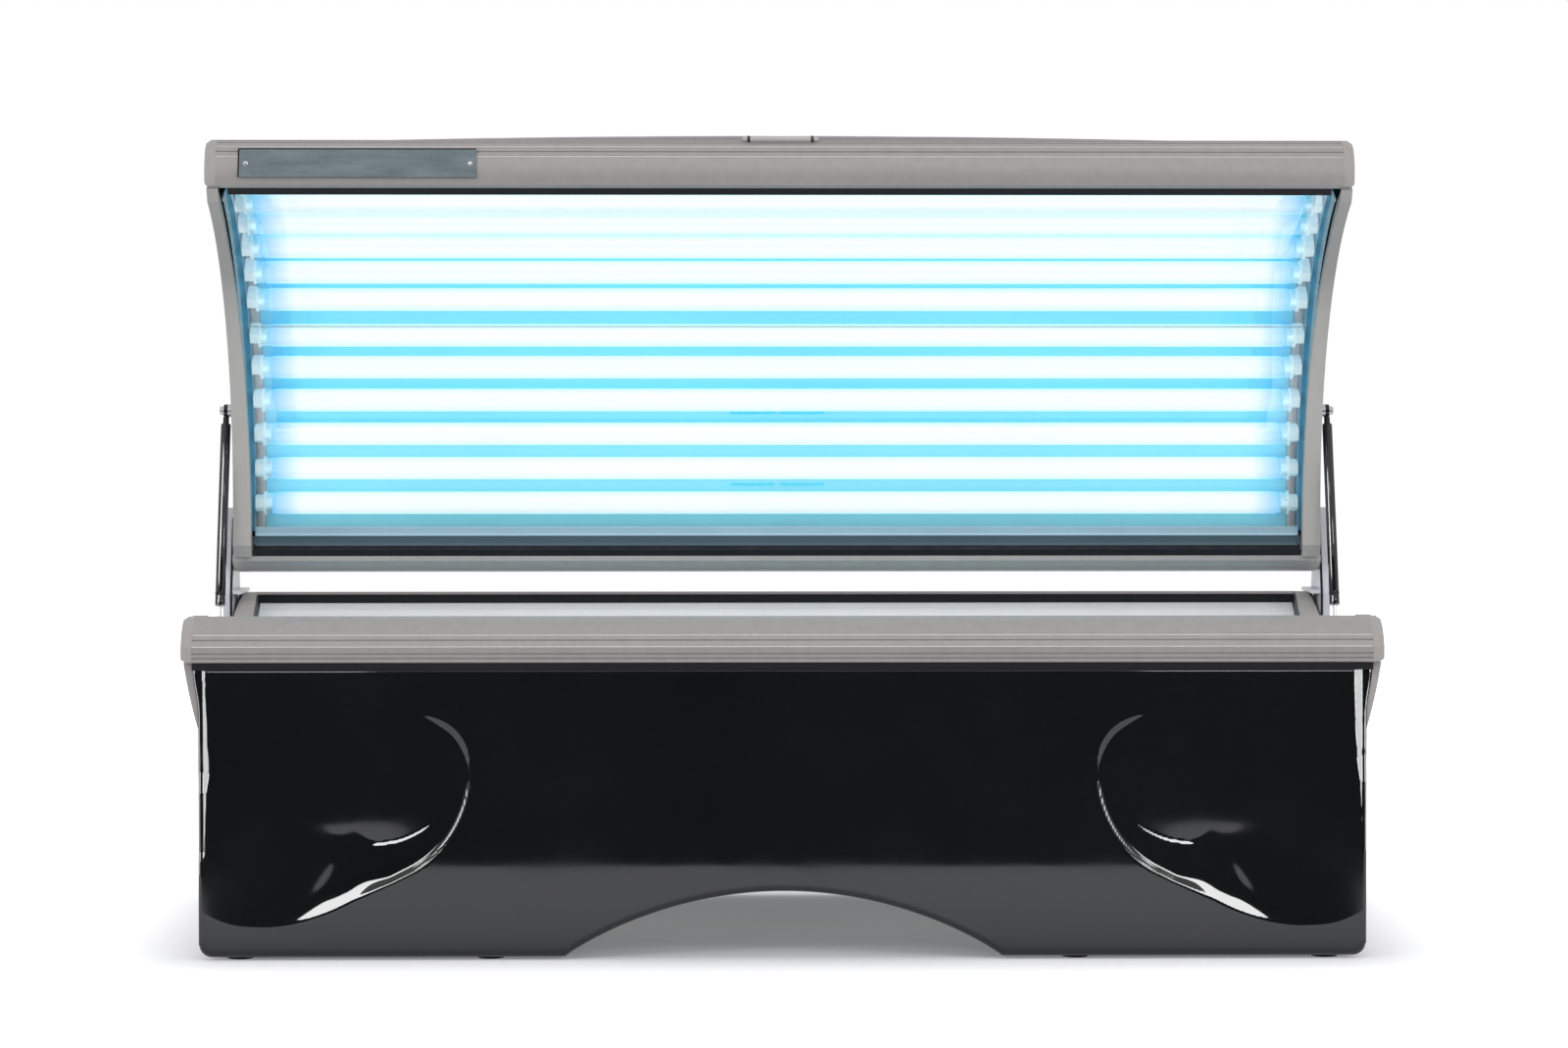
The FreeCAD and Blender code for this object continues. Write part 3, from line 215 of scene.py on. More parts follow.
GROUP_MAKERS = {"grain": group_grain, "mottle": group_mottle, "dust": group_dust, "wear": group_wear}
GROUPS = {}


def use(tree, name, **inputs):
    """Places an effect's group, built at its first use, and gives its outputs."""
    if name not in GROUPS:
        GROUPS[name] = GROUP_MAKERS[name]()
    return put(tree, "ShaderNodeGroup", inputs, node_tree=GROUPS[name]).outputs


# ---------------------------------------------------------------- finishes
def start_material(name):
    """An empty material with its shader."""
    material = bpy.data.materials.new(name)
    material.use_nodes = True
    tree = material.node_tree
    tree.nodes.clear()
    shader = put(tree, "ShaderNodeBsdfPrincipled", {})
    put(tree, "ShaderNodeOutputMaterial", {"Surface": shader.outputs[0]})
    return material, tree, shader


def shader_of(material):
    return next(node for node in material.node_tree.nodes if node.type == "BSDF_PRINCIPLED")


def shade(tree, shader, inputs):
    """Feeds the shader's sockets."""
    for label, value in inputs.items():
        feed(tree, shader.inputs[label], value)


def finish_plain(name, colour, rough, mottle=0.06, scale=5.0, dust=0.15, wear=0.0, metallic=0.0,
                 grain=None, grain_depth=0.25, bump_scale=700.0, bump_depth=0.05,
                 bare=(0.6, 0.6, 0.6, 1.0), specular=0.5):
    """One everyday finish: toned colour, dust and wear, varied gloss and a fine surface texture."""
    material, tree, shader = start_material(name)
    toned = use(tree, "mottle", Colour=colour, Scale=scale, Amount=mottle)
    worn = use(tree, "wear", Colour=toned["Colour"], Bare=bare, Amount=wear) if wear else toned
    dusty = use(tree, "dust", Colour=worn["Colour"], Amount=dust)
    gloss = ramp(tree, toned["Mask"], 0.3, 0.7, max(0.0, rough - 0.05), min(1.0, rough + 0.05))
    if grain:
        lines = use(tree, "grain", Stretch=Vector(grain), Scale=260.0)["Mask"]
        normal = bump(tree, lines, grain_depth, 0.0003)
    else:
        normal = bump(tree, noise(tree, spot(tree), bump_scale, 2.0), bump_depth, 0.001)
    shade(tree, shader, {
        "Base Color": dusty["Colour"], "Metallic": metallic, "Specular IOR Level": specular, "Normal": normal,
        "Roughness": maths(tree, "ADD", gloss, maths(tree, "MULTIPLY", dusty["Mask"], 0.5))})
    return material


def gloss_black(name, finish):
    """The front panel's polished black: a dark body under a clear, slightly wavy skin."""
    material, tree, shader = start_material(name)
    toned = use(tree, "mottle", Colour=tuple(finish.gloss_colour), Scale=2.5, Amount=0.25)
    place = spot(tree)
    shade(tree, shader, {
        "Base Color": use(tree, "dust", Colour=toned["Colour"], Amount=0.10)["Colour"], "IOR": 1.50,
        "Roughness": ramp(tree, noise(tree, place, 9.0, 5.0, 0.6), 0.35, 0.75, 0.035, 0.075),
        "Normal": bump(tree, noise(tree, place, 5.0, 1.0), 0.10, 0.002)})
    return material


def lamp_glow(name, finish):
    """A lit tube, blue-green towards its ends; its glow is also painted white where it faces the front and
    blue-green at its flanks, a halo fixed to the tube.
    """
    material, tree, shader = start_material(name)
    front, end = (put(tree, "ShaderNodeAttribute", {}, attribute_name=layer).outputs["Fac"]
                  for layer in ("front_facing", "tube_end"))
    # Painted glow: white towards the front, blue-green at the flanks.
    front_glow = mix(tree, ramp(tree, front, 0.22, 0.88), (0.60, 0.91, 0.96, 1), (0.94, 0.985, 0.99, 1))
    blue = mix(tree, ramp(tree, end, 0.0, 1.0), front_glow, (0.12, 0.55, 0.95, 1))
    powder = noise(tree, spot(tree), 25.0, 3.0)
    shade(tree, shader, {
        "Emission Color": mix(tree, ramp(tree, powder, 0.3, 0.7, 0.0, 0.06), blue, (0.8, 0.95, 1.0, 1)),
        "Emission Strength": finish.lamp_strength, "Base Color": (0.20, 0.22, 0.23, 1),
        "Roughness": ramp(tree, powder, 0.3, 0.7, 0.12, 0.2)})
    return material


def slot_glow(name):
    """A glowing sheet behind the reflector's slots: painted light standing in for the lamps' light seen through
    them.
    """
    material, tree, shader = start_material(name)
    weave = ramp(tree, noise(tree, spot(tree), 180.0, 2.0), 0.3, 0.7)
    shade(tree, shader, {
        "Emission Color": mix(tree, weave, (0.02, 0.42, 0.60, 1), (0.05, 0.58, 0.76, 1)),
        "Emission Strength": 0.9, "Base Color": (0.05, 0.30, 0.38, 1), "Roughness": 0.5})
    return material


def clear_acrylic(name, tint):
    """A clear sheet with polished faces, a faint tint and fine wipe marks."""
    material, tree, shader = start_material(name)
    wipes = use(tree, "grain", Stretch=Vector((0.15, 1.0, 1.0)), Scale=90.0)["Mask"]
    shade(tree, shader, {
        "Base Color": use(tree, "mottle", Colour=tint, Scale=3.0, Amount=0.02)["Colour"],
        "Roughness": ramp(tree, wipes, 0.4, 0.8, 0.0, 0.03), "IOR": 1.49, "Transmission Weight": 1.0})
    return material


def brushed_plate(name, colour):
    """The nameplate's metal: a diagonal sheen painted into its colour, over fine brush lines."""
    material, tree, shader = start_material(name)
    lines = use(tree, "grain", Stretch=Vector((0.35, 1.0, 1.6)), Scale=420.0)["Mask"]
    turned_place = put(tree, "ShaderNodeMapping", {
        "Vector": spot(tree), "Rotation": (0.0, 0.6, 0.0), "Scale": (12.0, 1.0, 60.0)}).outputs[0]
    painted_sheen = ramp(tree, noise(tree, turned_place, 1.0, 3.0), 0.35, 0.65, 0.0, 0.45)
    tone = mix(tree, ramp(tree, lines, 0.3, 0.7), colour, (0.145, 0.18, 0.20, 1))
    shade(tree, shader, {
        "Base Color": mix(tree, painted_sheen, tone, (0.24, 0.29, 0.32, 1)), "Metallic": 0.3,
        "Roughness": ramp(tree, lines, 0.3, 0.7, 0.32, 0.48), "Normal": bump(tree, lines, 0.25, 0.0003)})
    return material


MATERIALS = {}


def build_materials(finish):
    rail, moulding = tuple(finish.rail_colour), tuple(finish.moulding_colour)
    make = finish_plain
    MATERIALS.update({
        "aluminium": make("rail_anodised", rail, 0.42, 0.025, 3.0, 0.06, 0.2, 0.15, grain=(0.004, 1.0, 1.0),
                          grain_depth=0.04, bare=(0.50, 0.49, 0.48, 1), specular=0.25),
        "end_moulding": make("beige_moulding", moulding, 0.45, 0.04, 4.0, 0.10, 0.15, bump_scale=900.0,
                             bump_depth=0.06, bare=(0.52, 0.50, 0.48, 1), specular=0.25),
        "black_gloss": gloss_black("panel_gloss_black", finish),
        "rubber": make("gasket_rubber", (0.013, 0.0125, 0.016, 1), 0.60, 0.12, 8.0, 0.04, bump_scale=500.0,
                       bump_depth=0.08, specular=0.22),
        "acrylic": clear_acrylic("clear_acrylic", (0.95, 0.985, 0.99, 1)),
        # The reflector's cyan colour stands in for the lamps' blue light on its bright metal: painted light.
        "reflector": make("reflector_painted_cyan", (0.30, 0.82, 0.98, 1), 0.36, 0.05, 2.0, 0.06, 0.0, 0.40,
                          grain=(0.03, 1.0, 1.0), grain_depth=0.15),
        "lamp": lamp_glow("lamp_tube_glow", finish),
        "white_plastic": make("socket_white", (0.88, 0.93, 0.95, 1), 0.38, 0.05, 14.0, 0.10),
        "steel": make("painted_steel", (0.30, 0.29, 0.29, 1), 0.42, 0.07, 4.0, 0.30, 0.3, 0.15,
                      bump_scale=420.0, bump_depth=0.08),
        "zinc": make("zinc_plate", (0.50, 0.51, 0.53, 1), 0.34, 0.14, 22.0, 0.25, 0.3, 0.8),
        "black_plastic": make("black_plastic", (0.022, 0.022, 0.024, 1), 0.42, 0.15, 10.0, 0.25, 0.2,
                              bump_scale=650.0, bump_depth=0.10, bare=(0.12, 0.12, 0.12, 1)),
        "tower": make("tower_paint", (0.66, 0.64, 0.70, 1), 0.36, 0.04, 5.0, 0.10, 0.2, 0.0),
        "strut_black": make("strut_black_paint", (0.006, 0.006, 0.008, 1), 0.12, 0.15, 6.0, 0.04, 0.0, 0.0,
                            bump_depth=0.01, specular=0.32),
        "strut_sleeve": make("strut_sleeve_gloss", (0.010, 0.009, 0.013, 1), 0.08, 0.10, 6.0, 0.02, 0.0, 0.0,
                             bump_depth=0.0, specular=0.5),
        "chrome": make("chromed_rod", (0.62, 0.62, 0.64, 1), 0.10, 0.04, 10.0, 0.04, 0.0, 1.0, bump_depth=0.01),
        "ballast": make("ballast_enamel", (0.20, 0.20, 0.19, 1), 0.38, 0.10, 9.0, 0.35, 0.4, 0.1),
        "shell": make("canopy_shell_moulding", tuple(finish.shell_colour), 0.40, 0.03, 2.0, 0.08, 0.1,
                      bump_scale=520.0, bump_depth=0.10),
        "plate": brushed_plate("nameplate_brushed", (0.095, 0.125, 0.14, 1)),
        "pale_channel": make("channel_pale", (0.36, 0.42, 0.44, 1), 0.30, 0.06, 8.0, 0.05, 0.0, 0.3),
        "bright_strip": make("strip_bright_metal", (0.88, 0.89, 0.90, 1), 0.40, 0.04, 5.0, 0.04, 0.0, 0.15,
                             grain=(0.01, 1.0, 1.0), grain_depth=0.08),
        # The liner's teal stands in for the lamps' cyan light on the end moulding: painted light.
        "liner_painted_lamp_light": make("liner_teal_painted_light", (0.075, 0.29, 0.41, 1), 0.40, 0.10, 6.0, 0.05),
        "ledge_blue": make("ledge_pale_blue", (0.34, 0.50, 0.59, 1), 0.38, 0.05, 5.0, 0.04, 0.0, 0.2,
                           grain=(0.01, 1.0, 1.0), grain_depth=0.08),
        "bevel_teal": make("bevel_dark_teal", (0.045, 0.085, 0.11, 1), 0.40, 0.08, 5.0, 0.04),
        # Pale beads in the rails' grooves: painted highlights on the ridges.
        "highlight_bead": make("rail_painted_highlight", (0.82, 0.81, 0.80, 1), 0.30, 0.03, 5.0, 0.04, 0.0, 0.2),
        # The caps' pale blue-white colour stands in for the lamps' glow on their metal: painted light.
        "lamp_cap": make("lamp_cap_painted_glow", (0.62, 0.80, 0.88, 1), 0.30, 0.06, 20.0, 0.04, 0.0, 0.5),
        "slot_glow": slot_glow("slot_painted_glow"),
        "clip": make("clip_pale", (0.52, 0.50, 0.49, 1), 0.35, 0.05, 20.0, 0.10, 0.2, 0.1),
    })


def painted_glow(material, colour, strength):
    """Painted glow: the plastic gets a faint light of its own, standing in for the lamps' light on it."""
    shade(material.node_tree, shader_of(material), {"Emission Color": colour, "Emission Strength": strength})


def dress_nodes():
    """Every node of the frame takes its slot's finish, apart from three that have their own."""
    own = {"canopy_shell": "shell", "nameplate": "plate", "top_clip": "clip"}
    for name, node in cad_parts.items():
        if node.material_slots:
            chosen = MATERIALS[own.get(name, node.material_slots[0].material.name)]
            for place in node.material_slots:
                place.material = chosen


# ---------------------------------------------------------------- mesh helpers
def make_piece(name, mesh_builder, material, body, slot_name, *nodes):
    """Turns a bmesh into a finished object that rides on its body."""
    mesh = bpy.data.meshes.new(name)
    mesh_builder.to_mesh(mesh)
    mesh_builder.free()
    piece = bpy.data.objects.new(name, mesh)
    bpy.context.scene.collection.objects.link(piece)
    mesh.materials.append(MATERIALS[material])
    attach(piece, body)
    if nodes:
        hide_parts(*nodes)
    return piece


def smooth_by_angle(mesh, degrees=35.0):
    for polygon in mesh.polygons:
        polygon.use_smooth = True
    mesh.set_sharp_from_angle(angle=math.radians(degrees))


def verts_in(geometry):
    return [item for item in geometry if isinstance(item, bmesh.types.BMVert)]


def open_canopy():
    """Turns a shut canopy piece about the hinge to its open place."""
    return (Matrix.Translation(HINGE) @ Matrix.Rotation(-OPEN_ANGLE, 4, "X") @ Matrix.Translation(-HINGE))


def tidy(work):
    """Joins doubles and turns every face outwards."""
    bmesh.ops.remove_doubles(work, verts=work.verts, dist=1e-5)
    bmesh.ops.recalc_face_normals(work, faces=work.faces)


def arc_band(work, section, start, end, steps):
    """A closed section of (x, radius) points swept round the lamp unit's arc between two angles."""
    across, up = math.sin(start), math.cos(start)
    corners = [work.verts.new((x, r * across, ARC_Z - r * up)) for x, r in section]
    face = work.faces.new(corners)
    bmesh.ops.spin(work, geom=corners + list(face.edges) + [face], cent=(0, 0, ARC_Z), axis=(1, 0, 0),
                   angle=end - start, steps=steps)


def bar(work, outline, x0, x1):
    """A closed (y, z) outline drawn out along X."""
    face = work.faces.new([work.verts.new((x0, y, z)) for y, z in outline])
    grown = bmesh.ops.extrude_face_region(work, geom=[face])["geom"]
    bmesh.ops.translate(work, vec=(x1 - x0, 0, 0), verts=verts_in(grown))


def turned(work, profile, place, axis="X", steps=24):
    """A lathe-turned shape: (along, radius) points spun round an axis through a place."""
    start = [work.verts.new((along, 0.0, radius)) for along, radius in profile]
    edges = [work.edges.new(pair) for pair in zip(start, start[1:])]
    bmesh.ops.spin(work, geom=start + edges, cent=(0, 0, 0), axis=(1, 0, 0), angle=math.tau, steps=steps,
                   use_merge=True)
    fresh = [v for v in work.verts if not v.tag]
    matrix = {"X": Matrix.Identity(4), "Y": Matrix.Rotation(math.pi / 2, 4, "Z"),
              "Z": Matrix.Rotation(-math.pi / 2, 4, "Y")}[axis]
    bmesh.ops.transform(work, matrix=Matrix.Translation(place) @ matrix, verts=fresh)
    for vert in fresh:
        vert.tag = True


def canopy_turn():
    """Takes a bench-shaped piece to its place in the open canopy."""
    mirror = Matrix.Translation((0, 0, 2 * MIRROR_Z)) @ Matrix.Scale(-1, 4, (0, 0, 1))
    return open_canopy() @ mirror


def plain_piece(name, work, material, body, slot_name, *nodes, degrees=35.0):
    """A tidied, angle-smoothed piece."""
    tidy(work)
    piece = make_piece(name, work, material, body, slot_name, *nodes)
    smooth_by_angle(piece.data, degrees)
    return piece


# ---------------------------------------------------------------- lamps
# From each unit's front and rear rail to the nearest lamp, and how far its rows stand forward.
LAMP_ROWS = {"bench": (0.016, 0.016, 0.0), "canopy": (0.0015, 0.036, 0.026)}
SEAM_HALF = 0.035                 # from the rows' middle to the lamp on each side of it
ROW_STEPS = 5                     # six lamps in each row
BLUE_LENGTH = 0.05                # how far from its ends a tube's glass turns blue


def arc_limit(gap):
    """The run along the arc from its middle to a lamp this far from the rail."""
    return LAMP_ARC * math.asin((RAIL_INNER_Y - gap - LAMP_RADIUS) / LAMP_ARC)


def lamp_angles(unit):
    """A unit's lamp angles on its arc from front to rear, as the sockets hold them."""
    front_gap, rear_gap, shift = LAMP_ROWS[unit]
    first, last = -arc_limit(front_gap), arc_limit(rear_gap)
    front_step = (-shift - SEAM_HALF - first) / ROW_STEPS
    rear_step = (last - SEAM_HALF + shift) / ROW_STEPS
    runs = [first + i * front_step for i in range(ROW_STEPS + 1)]
    runs += [SEAM_HALF - shift + i * rear_step for i in range(ROW_STEPS + 1)]
    return [run / LAMP_ARC for run in runs]


def lamp_axis(unit, angle):
    """A point of a lamp's axis, by its unit and its angle on the arc."""
    place = Vector((0.0, LAMP_ARC * math.sin(angle), ARC_Z - LAMP_ARC * math.cos(angle)))
    return canopy_turn() @ place if unit == "canopy" else place


def lamp_tube(work, axis, cap_length, facing_layer, end_layer):
    """One tube with rounded shoulders and metal caps, along X, through axis."""
    glass_end = LAMP_HALF - cap_length
    stations = [
        (-LAMP_HALF, 0.0), (-LAMP_HALF, 0.0165), (-LAMP_HALF + 0.0015, 0.0180), (-glass_end - 0.001, 0.0180),
        (-glass_end - 0.0005, 0.0168), (-glass_end + 0.0035, 0.0182), (-glass_end + 0.008, LAMP_RADIUS),
        (-glass_end + BLUE_LENGTH, LAMP_RADIUS), (0.0, LAMP_RADIUS),
    ]
    stations += [(-x, r) for x, r in reversed(stations[:-1])]
    start = [work.verts.new((x, 0.0, r)) for x, r in stations]
    edges = [work.edges.new(pair) for pair in zip(start, start[1:])]
    bmesh.ops.spin(work, geom=start + edges, cent=(0, 0, 0), axis=(1, 0, 0), angle=math.tau, steps=28,
                   use_merge=True)
    for vert in [v for v in work.verts if not v.tag]:
        vert.tag = True
        outward = Vector((0.0, vert.co.y, vert.co.z))
        facing = outward.normalized().dot(FRONT) if outward.length > 1e-5 else 0.0
        vert[facing_layer] = max(0.0, facing)
        vert[end_layer] = max(0.0, min(1.0, (abs(vert.co.x) - (glass_end - BLUE_LENGTH)) / BLUE_LENGTH))
        vert.co += axis


def lamp_set(unit, cap_length):
    """A unit's lamps as one piece, with the caps in their own finish."""
    work = bmesh.new()
    facing_layer = work.verts.layers.float.new("front_facing")
    end_layer = work.verts.layers.float.new("tube_end")
    for angle in lamp_angles(unit):
        lamp_tube(work, lamp_axis(unit, angle), cap_length, facing_layer, end_layer)
    tidy(work)
    glass_limit = LAMP_HALF - cap_length - 0.0002
    for face in work.faces:
        face.smooth = True
        face.material_index = 1 if abs(face.calc_center_median().x) > glass_limit else 0
    piece = make_piece(unit + "_lamp_tubes", work, "lamp", unit, "lamp", unit + "_lamps")
    piece.data.materials.append(MATERIALS["lamp_cap"])
    piece.data.set_sharp_from_angle(angle=math.radians(40))


class TANBED_OT_lamps(bpy.types.Operator):
    """Builds the lamp tubes of the bench and the canopy"""
    bl_idname = "tanbed.lamps"
    bl_label = "Lamp Tubes"

    def execute(self, context):
        for unit in LAMP_ROWS:
            lamp_set(unit, context.scene.tanbed_sizes.lamp_cap_length)
        return {"FINISHED"}


# ---------------------------------------------------------------- front panel
SCOOP_CENTRE = (0.660, 0.225)
# Scoop outlines round that centre, every 10 degrees from the outboard side, counter-clockwise:
# where the outer rim lies, where the scoop's floor begins, and how crisp the rim is there.
SCOOP_RIM = (0.283, 0.268, 0.249, 0.228, 0.208, 0.192, 0.182, 0.174, 0.168, 0.165, 0.167, 0.173,
             0.182, 0.193, 0.202, 0.202, 0.193, 0.181, 0.169, 0.158, 0.148, 0.139, 0.131, 0.124,
             0.121, 0.121, 0.125, 0.133, 0.148, 0.168, 0.195, 0.227, 0.260, 0.283, 0.293, 0.291)
SCOOP_FLOOR = (0.061, 0.052, 0.047, 0.045, 0.045, 0.045, 0.045, 0.045, 0.045, 0.047, 0.053, 0.066,
               0.085, 0.105, 0.122, 0.136, 0.145, 0.144, 0.133, 0.116, 0.098, 0.083, 0.070, 0.061,
               0.055, 0.051, 0.049, 0.050, 0.052, 0.055, 0.058, 0.062, 0.066, 0.070, 0.072, 0.069)
SCOOP_CRISP = (0,) * 14 + (0.2, 0.7) + (1,) * 15 + (0.95, 0.8, 0.6, 0.35, 0.1)
# The chamfer inside the rim: its slope and its width.
LIP_SLOPE = ((0,) * 13 + (0.25, 0.60) + (0.62,) * 8 + (0.60, 0.50, 0.34, 0.22, 0.14, 0.125, 0.12, 0.05)
             + (0,) * 5)
LIP_WIDTH = (0.004,) * 14 + (0.005, 0.006, 0.006, 0.0065, 0.007, 0.0075, 0.008, 0.008, 0.0075, 0.007, 0.008,
                             0.014, 0.024, 0.034, 0.040, 0.040, 0.030, 0.015) + (0.006,) * 4
# How strongly the step round the scoop's floor shows there.
SCOOP_STEP = (0,) * 17 + (0.2, 0.6, 1, 1, 1, 1, 1, 0.7, 0.3, 0.1) + (0,) * 9
FLOOR_TILT = 0.0145               # the scoop's floor sinks towards the ground
STEP_HEIGHT = 0.0013


def around(table, angle):
    """A smooth closed curve through a table's values, read at an angle."""
    place = (angle % math.tau) / math.tau * len(table)
    index, part = int(place) % len(table), place - int(place)
    a, b, c, d = (table[(index + k - 1) % len(table)] for k in range(4))
    return b + 0.5 * part * (c - a + part * (2 * a - 5 * b + 4 * c - d + part * (3 * (b - c) + d - a)))


def smoothstep(value):
    value = max(0.0, min(1.0, value))
    return value * value * (3 - 2 * value)


def scoop_sink(x, z, depth):
    """How far the panel's face is sunk at a point by the scoop on that side."""
    across, up = abs(x) - SCOOP_CENTRE[0], z - SCOOP_CENTRE[1]
    reach, angle = math.hypot(across, up), math.atan2(up, across)
    rim, floor = around(SCOOP_RIM, angle), around(SCOOP_FLOOR, angle)
    if reach >= rim:
        return 0.0
    crisp = max(0.0, min(1.0, around(SCOOP_CRISP, angle)))
    slope, width = max(0.0, around(LIP_SLOPE, angle)), max(0.003, around(LIP_WIDTH, angle))
    inside = (rim - reach) / width
    lip = slope * width * inside / (1 + inside ** 4) ** 0.25
    share = max(0.0, min(1.0, (reach - floor) / (rim - floor)))
    crisp_wall = 1 - share ** 1.25
    soft_wall = 0.5 * (1 - share) + 0.5 * smoothstep(1 - share)
    spread = 0.0032 + 0.05 * (1 - max(0.0, min(1.0, around(SCOOP_STEP, angle))))
    ridge = STEP_HEIGHT * smoothstep((0.03 - 0.3 * across - 0.95 * up) / 0.10)
    ridge *= 1 - smoothstep((reach - floor) / spread + 0.5)
    bottom = depth - FLOOR_TILT * up
    return lip + (bottom - lip) * (crisp * crisp_wall + (1 - crisp) * soft_wall) + ridge


PANEL_HALF = 0.895
FLARE_START = 0.372               # the height where the panel widens to the rails
ARCH_HALF, ARCH_RISE = 0.335, 0.100
# The fold down each side of the panel: heights, and how far from the edge it starts there.
LEFT_FOLD = ((0.15, 0.0080), (0.169, 0.0115), (0.251, 0.0140), (0.293, 0.0190), (0.339, 0.0165), (0.44, 0.0130))
RIGHT_FOLD = ((0.178, 0.0075), (0.214, 0.0095), (0.265, 0.0120), (0.317, 0.0175), (0.367, 0.0200),
              (0.44, 0.0218))
# How near the edge the fold ends, how steeply it falls back, and how fast it narrows below its table.
FOLD_END, FOLD_SLOPE, FOLD_TAPER = 0.0070, 0.70, 0.05


def side_fold(distance, z, table):
    """How far back the panel's side fold lies at a distance from the edge."""
    if z <= table[0][0]:
        start = max(FOLD_END, table[0][1] - (table[0][0] - z) * FOLD_TAPER)
    else:
        low, high = next(((a, b) for a, b in zip(table, table[1:]) if a[0] <= z <= b[0]), table[-2:])
        start = low[1] + (high[1] - low[1]) * smoothstep((z - low[0]) / (high[0] - low[0]))
    return FOLD_SLOPE * max(0.0, start - max(distance, FOLD_END))


def panel_half_width(z):
    """Half the panel's width at a height: straight, then flared to the rails."""
    share = smoothstep((z - FLARE_START) / (PANEL_HIGH.z - FLARE_START)) ** 1.3
    return PANEL_HALF + (PANEL_HIGH.x - PANEL_HALF) * share


def panel_bottom(x):
    """The panel's lower edge: feet corners and the arch between them."""
    share = min(1.0, abs(x) / ARCH_HALF)
    return PANEL_LOW.z + ARCH_RISE * (1 - share ** 2) ** 0.92


def clustered(count, roll, span, turn):
    """Stations from 0 to span, packed at both ends where the edge rolls over."""
    start = [roll * (1 - math.cos(math.pi / 2 * i / turn)) for i in range(turn)]
    middle = [roll + (span - 2 * roll) * i / count for i in range(count + 1)]
    return start + middle + [span - s for s in reversed(start)]


def roll_back(distance, radius):
    """How far back the face lies this close to a rolled edge."""
    if distance >= radius:
        return 0.0
    gap = radius - max(0.0, distance)
    return radius - math.sqrt(max(0.0, radius ** 2 - gap ** 2))


# How finely the panel's face is divided between its rolled edges, and within each.
COLUMNS, SIDE_COLUMNS, ROWS, EDGE_ROWS = 520, 20, 150, 9
SIDE_BAND, PANEL_HEIGHT = 0.026, 0.440
TOP_ROLL = 0.0015
BACK_CLEARANCE = 0.002            # kept between the rolled face and the panel's back


def panel_point(across, up, sizes):
    """The panel's face at a share of its half width and a share of its height."""
    roll, corner = sizes.panel_roll, sizes.panel_corner
    low = panel_bottom(across * PANEL_HALF)
    z = low + up * (PANEL_HIGH.z - low)
    x = across * panel_half_width(z)
    side_gap, low_gap, top_gap = (1 - abs(across)) * PANEL_HALF, z - low, PANEL_HIGH.z - z
    fold = side_fold(PANEL_HALF - abs(x), z, RIGHT_FOLD if across > 0 else LEFT_FOLD)
    if side_gap < corner and low_gap < corner:
        offset = Vector((corner - side_gap, corner - low_gap))
        reach = max(offset)
        rounded = offset * (reach / offset.length)
        x = math.copysign(panel_half_width(z) - corner + rounded.x, x)
        z = low + corner - rounded.y
        side_gap = low_gap = corner - reach
    back = max(roll_back(side_gap, roll * 0.5) + fold, roll_back(low_gap, roll), roll_back(top_gap, TOP_ROLL))
    back = min(back, PANEL_HIGH.y - PANEL_LOW.y - BACK_CLEARANCE)
    return Vector((x, PANEL_LOW.y + back + scoop_sink(x, z, sizes.scoop_depth), z))


class TANBED_OT_front_panel(bpy.types.Operator):
    """Builds the gloss front panel with its arch, rolled edges and two scoops"""
    bl_idname = "tanbed.front_panel"
    bl_label = "Front Panel"

    def execute(self, context):
        sizes = context.scene.tanbed_sizes
        columns = clustered(COLUMNS, SIDE_BAND, 2 * PANEL_HALF, SIDE_COLUMNS)
        rows = clustered(ROWS, sizes.panel_roll, PANEL_HEIGHT, EDGE_ROWS)
        last_column, last_row = len(columns) - 1, len(rows) - 1
        work = bmesh.new()
        bmesh.ops.create_grid(work, x_segments=last_column, y_segments=last_row, size=1.0)
        for vert in work.verts:
            column, row = round((vert.co.x + 1) / 2 * last_column), round((vert.co.y + 1) / 2 * last_row)
            vert.co = panel_point(columns[column] / columns[-1] * 2 - 1, rows[row] / rows[-1], sizes)
        grown = bmesh.ops.extrude_edge_only(work, edges=[e for e in work.edges if e.is_boundary])["geom"]
        for vert in verts_in(grown):
            vert.co.y = PANEL_HIGH.y
        bmesh.ops.edgeloop_fill(work, edges=[e for e in work.edges if e.is_boundary])
        bmesh.ops.recalc_face_normals(work, faces=work.faces)
        for face in work.faces:
            on_top = face.normal.z > 0.5 and face.calc_center_median().z > PANEL_HIGH.z - 2 * TOP_ROLL
            face.material_index = 1 if on_top else 0
        piece = make_piece("front_panel_gloss", work, "black_gloss", "bench", "black_gloss",
                           "bench_front_panel")
        piece.data.materials.append(MATERIALS["rubber"])
        smooth_by_angle(piece.data, 50.0)
        return {"FINISHED"}


# ---------------------------------------------------------------- canopy trim
# The canopy's end trim: its (x, radius) section at the right-hand end, half the angle that it covers,
# its finish and its slot.
END_TRIM = {
    # The end liners' teal is painted lamp light.
    "canopy_end_liners": (
        ((0.8846, 0.5905), (0.8862, 0.5905), (0.8950, 0.5530), (0.8934, 0.5530)), 0.615,
        "liner_painted_lamp_light", "reflector"),
    "canopy_end_channels": (
        ((0.8934, 0.5528), (0.8950, 0.5528), (0.8986, 0.5375), (0.8970, 0.5375)), 0.615,
        "pale_channel", "reflector"),
    "canopy_end_beads": (
        ((0.8960, 0.5372), (0.8960, 0.5345), (0.8988, 0.5345), (0.8988, 0.5372)), 0.60,
        "rubber", "rubber"),
}
# The screens behind the reflector's slots, glowing sheets that paint the lamps' light seen through the slots:
# two beside each other, their half sizes and their two radii.
SCREEN_MIDDLE, SCREEN_HALF, SCREEN_ANGLE = 0.042, 0.041, 0.0065
SCREEN_INNER, SCREEN_OUTER = 0.6017, 0.6025
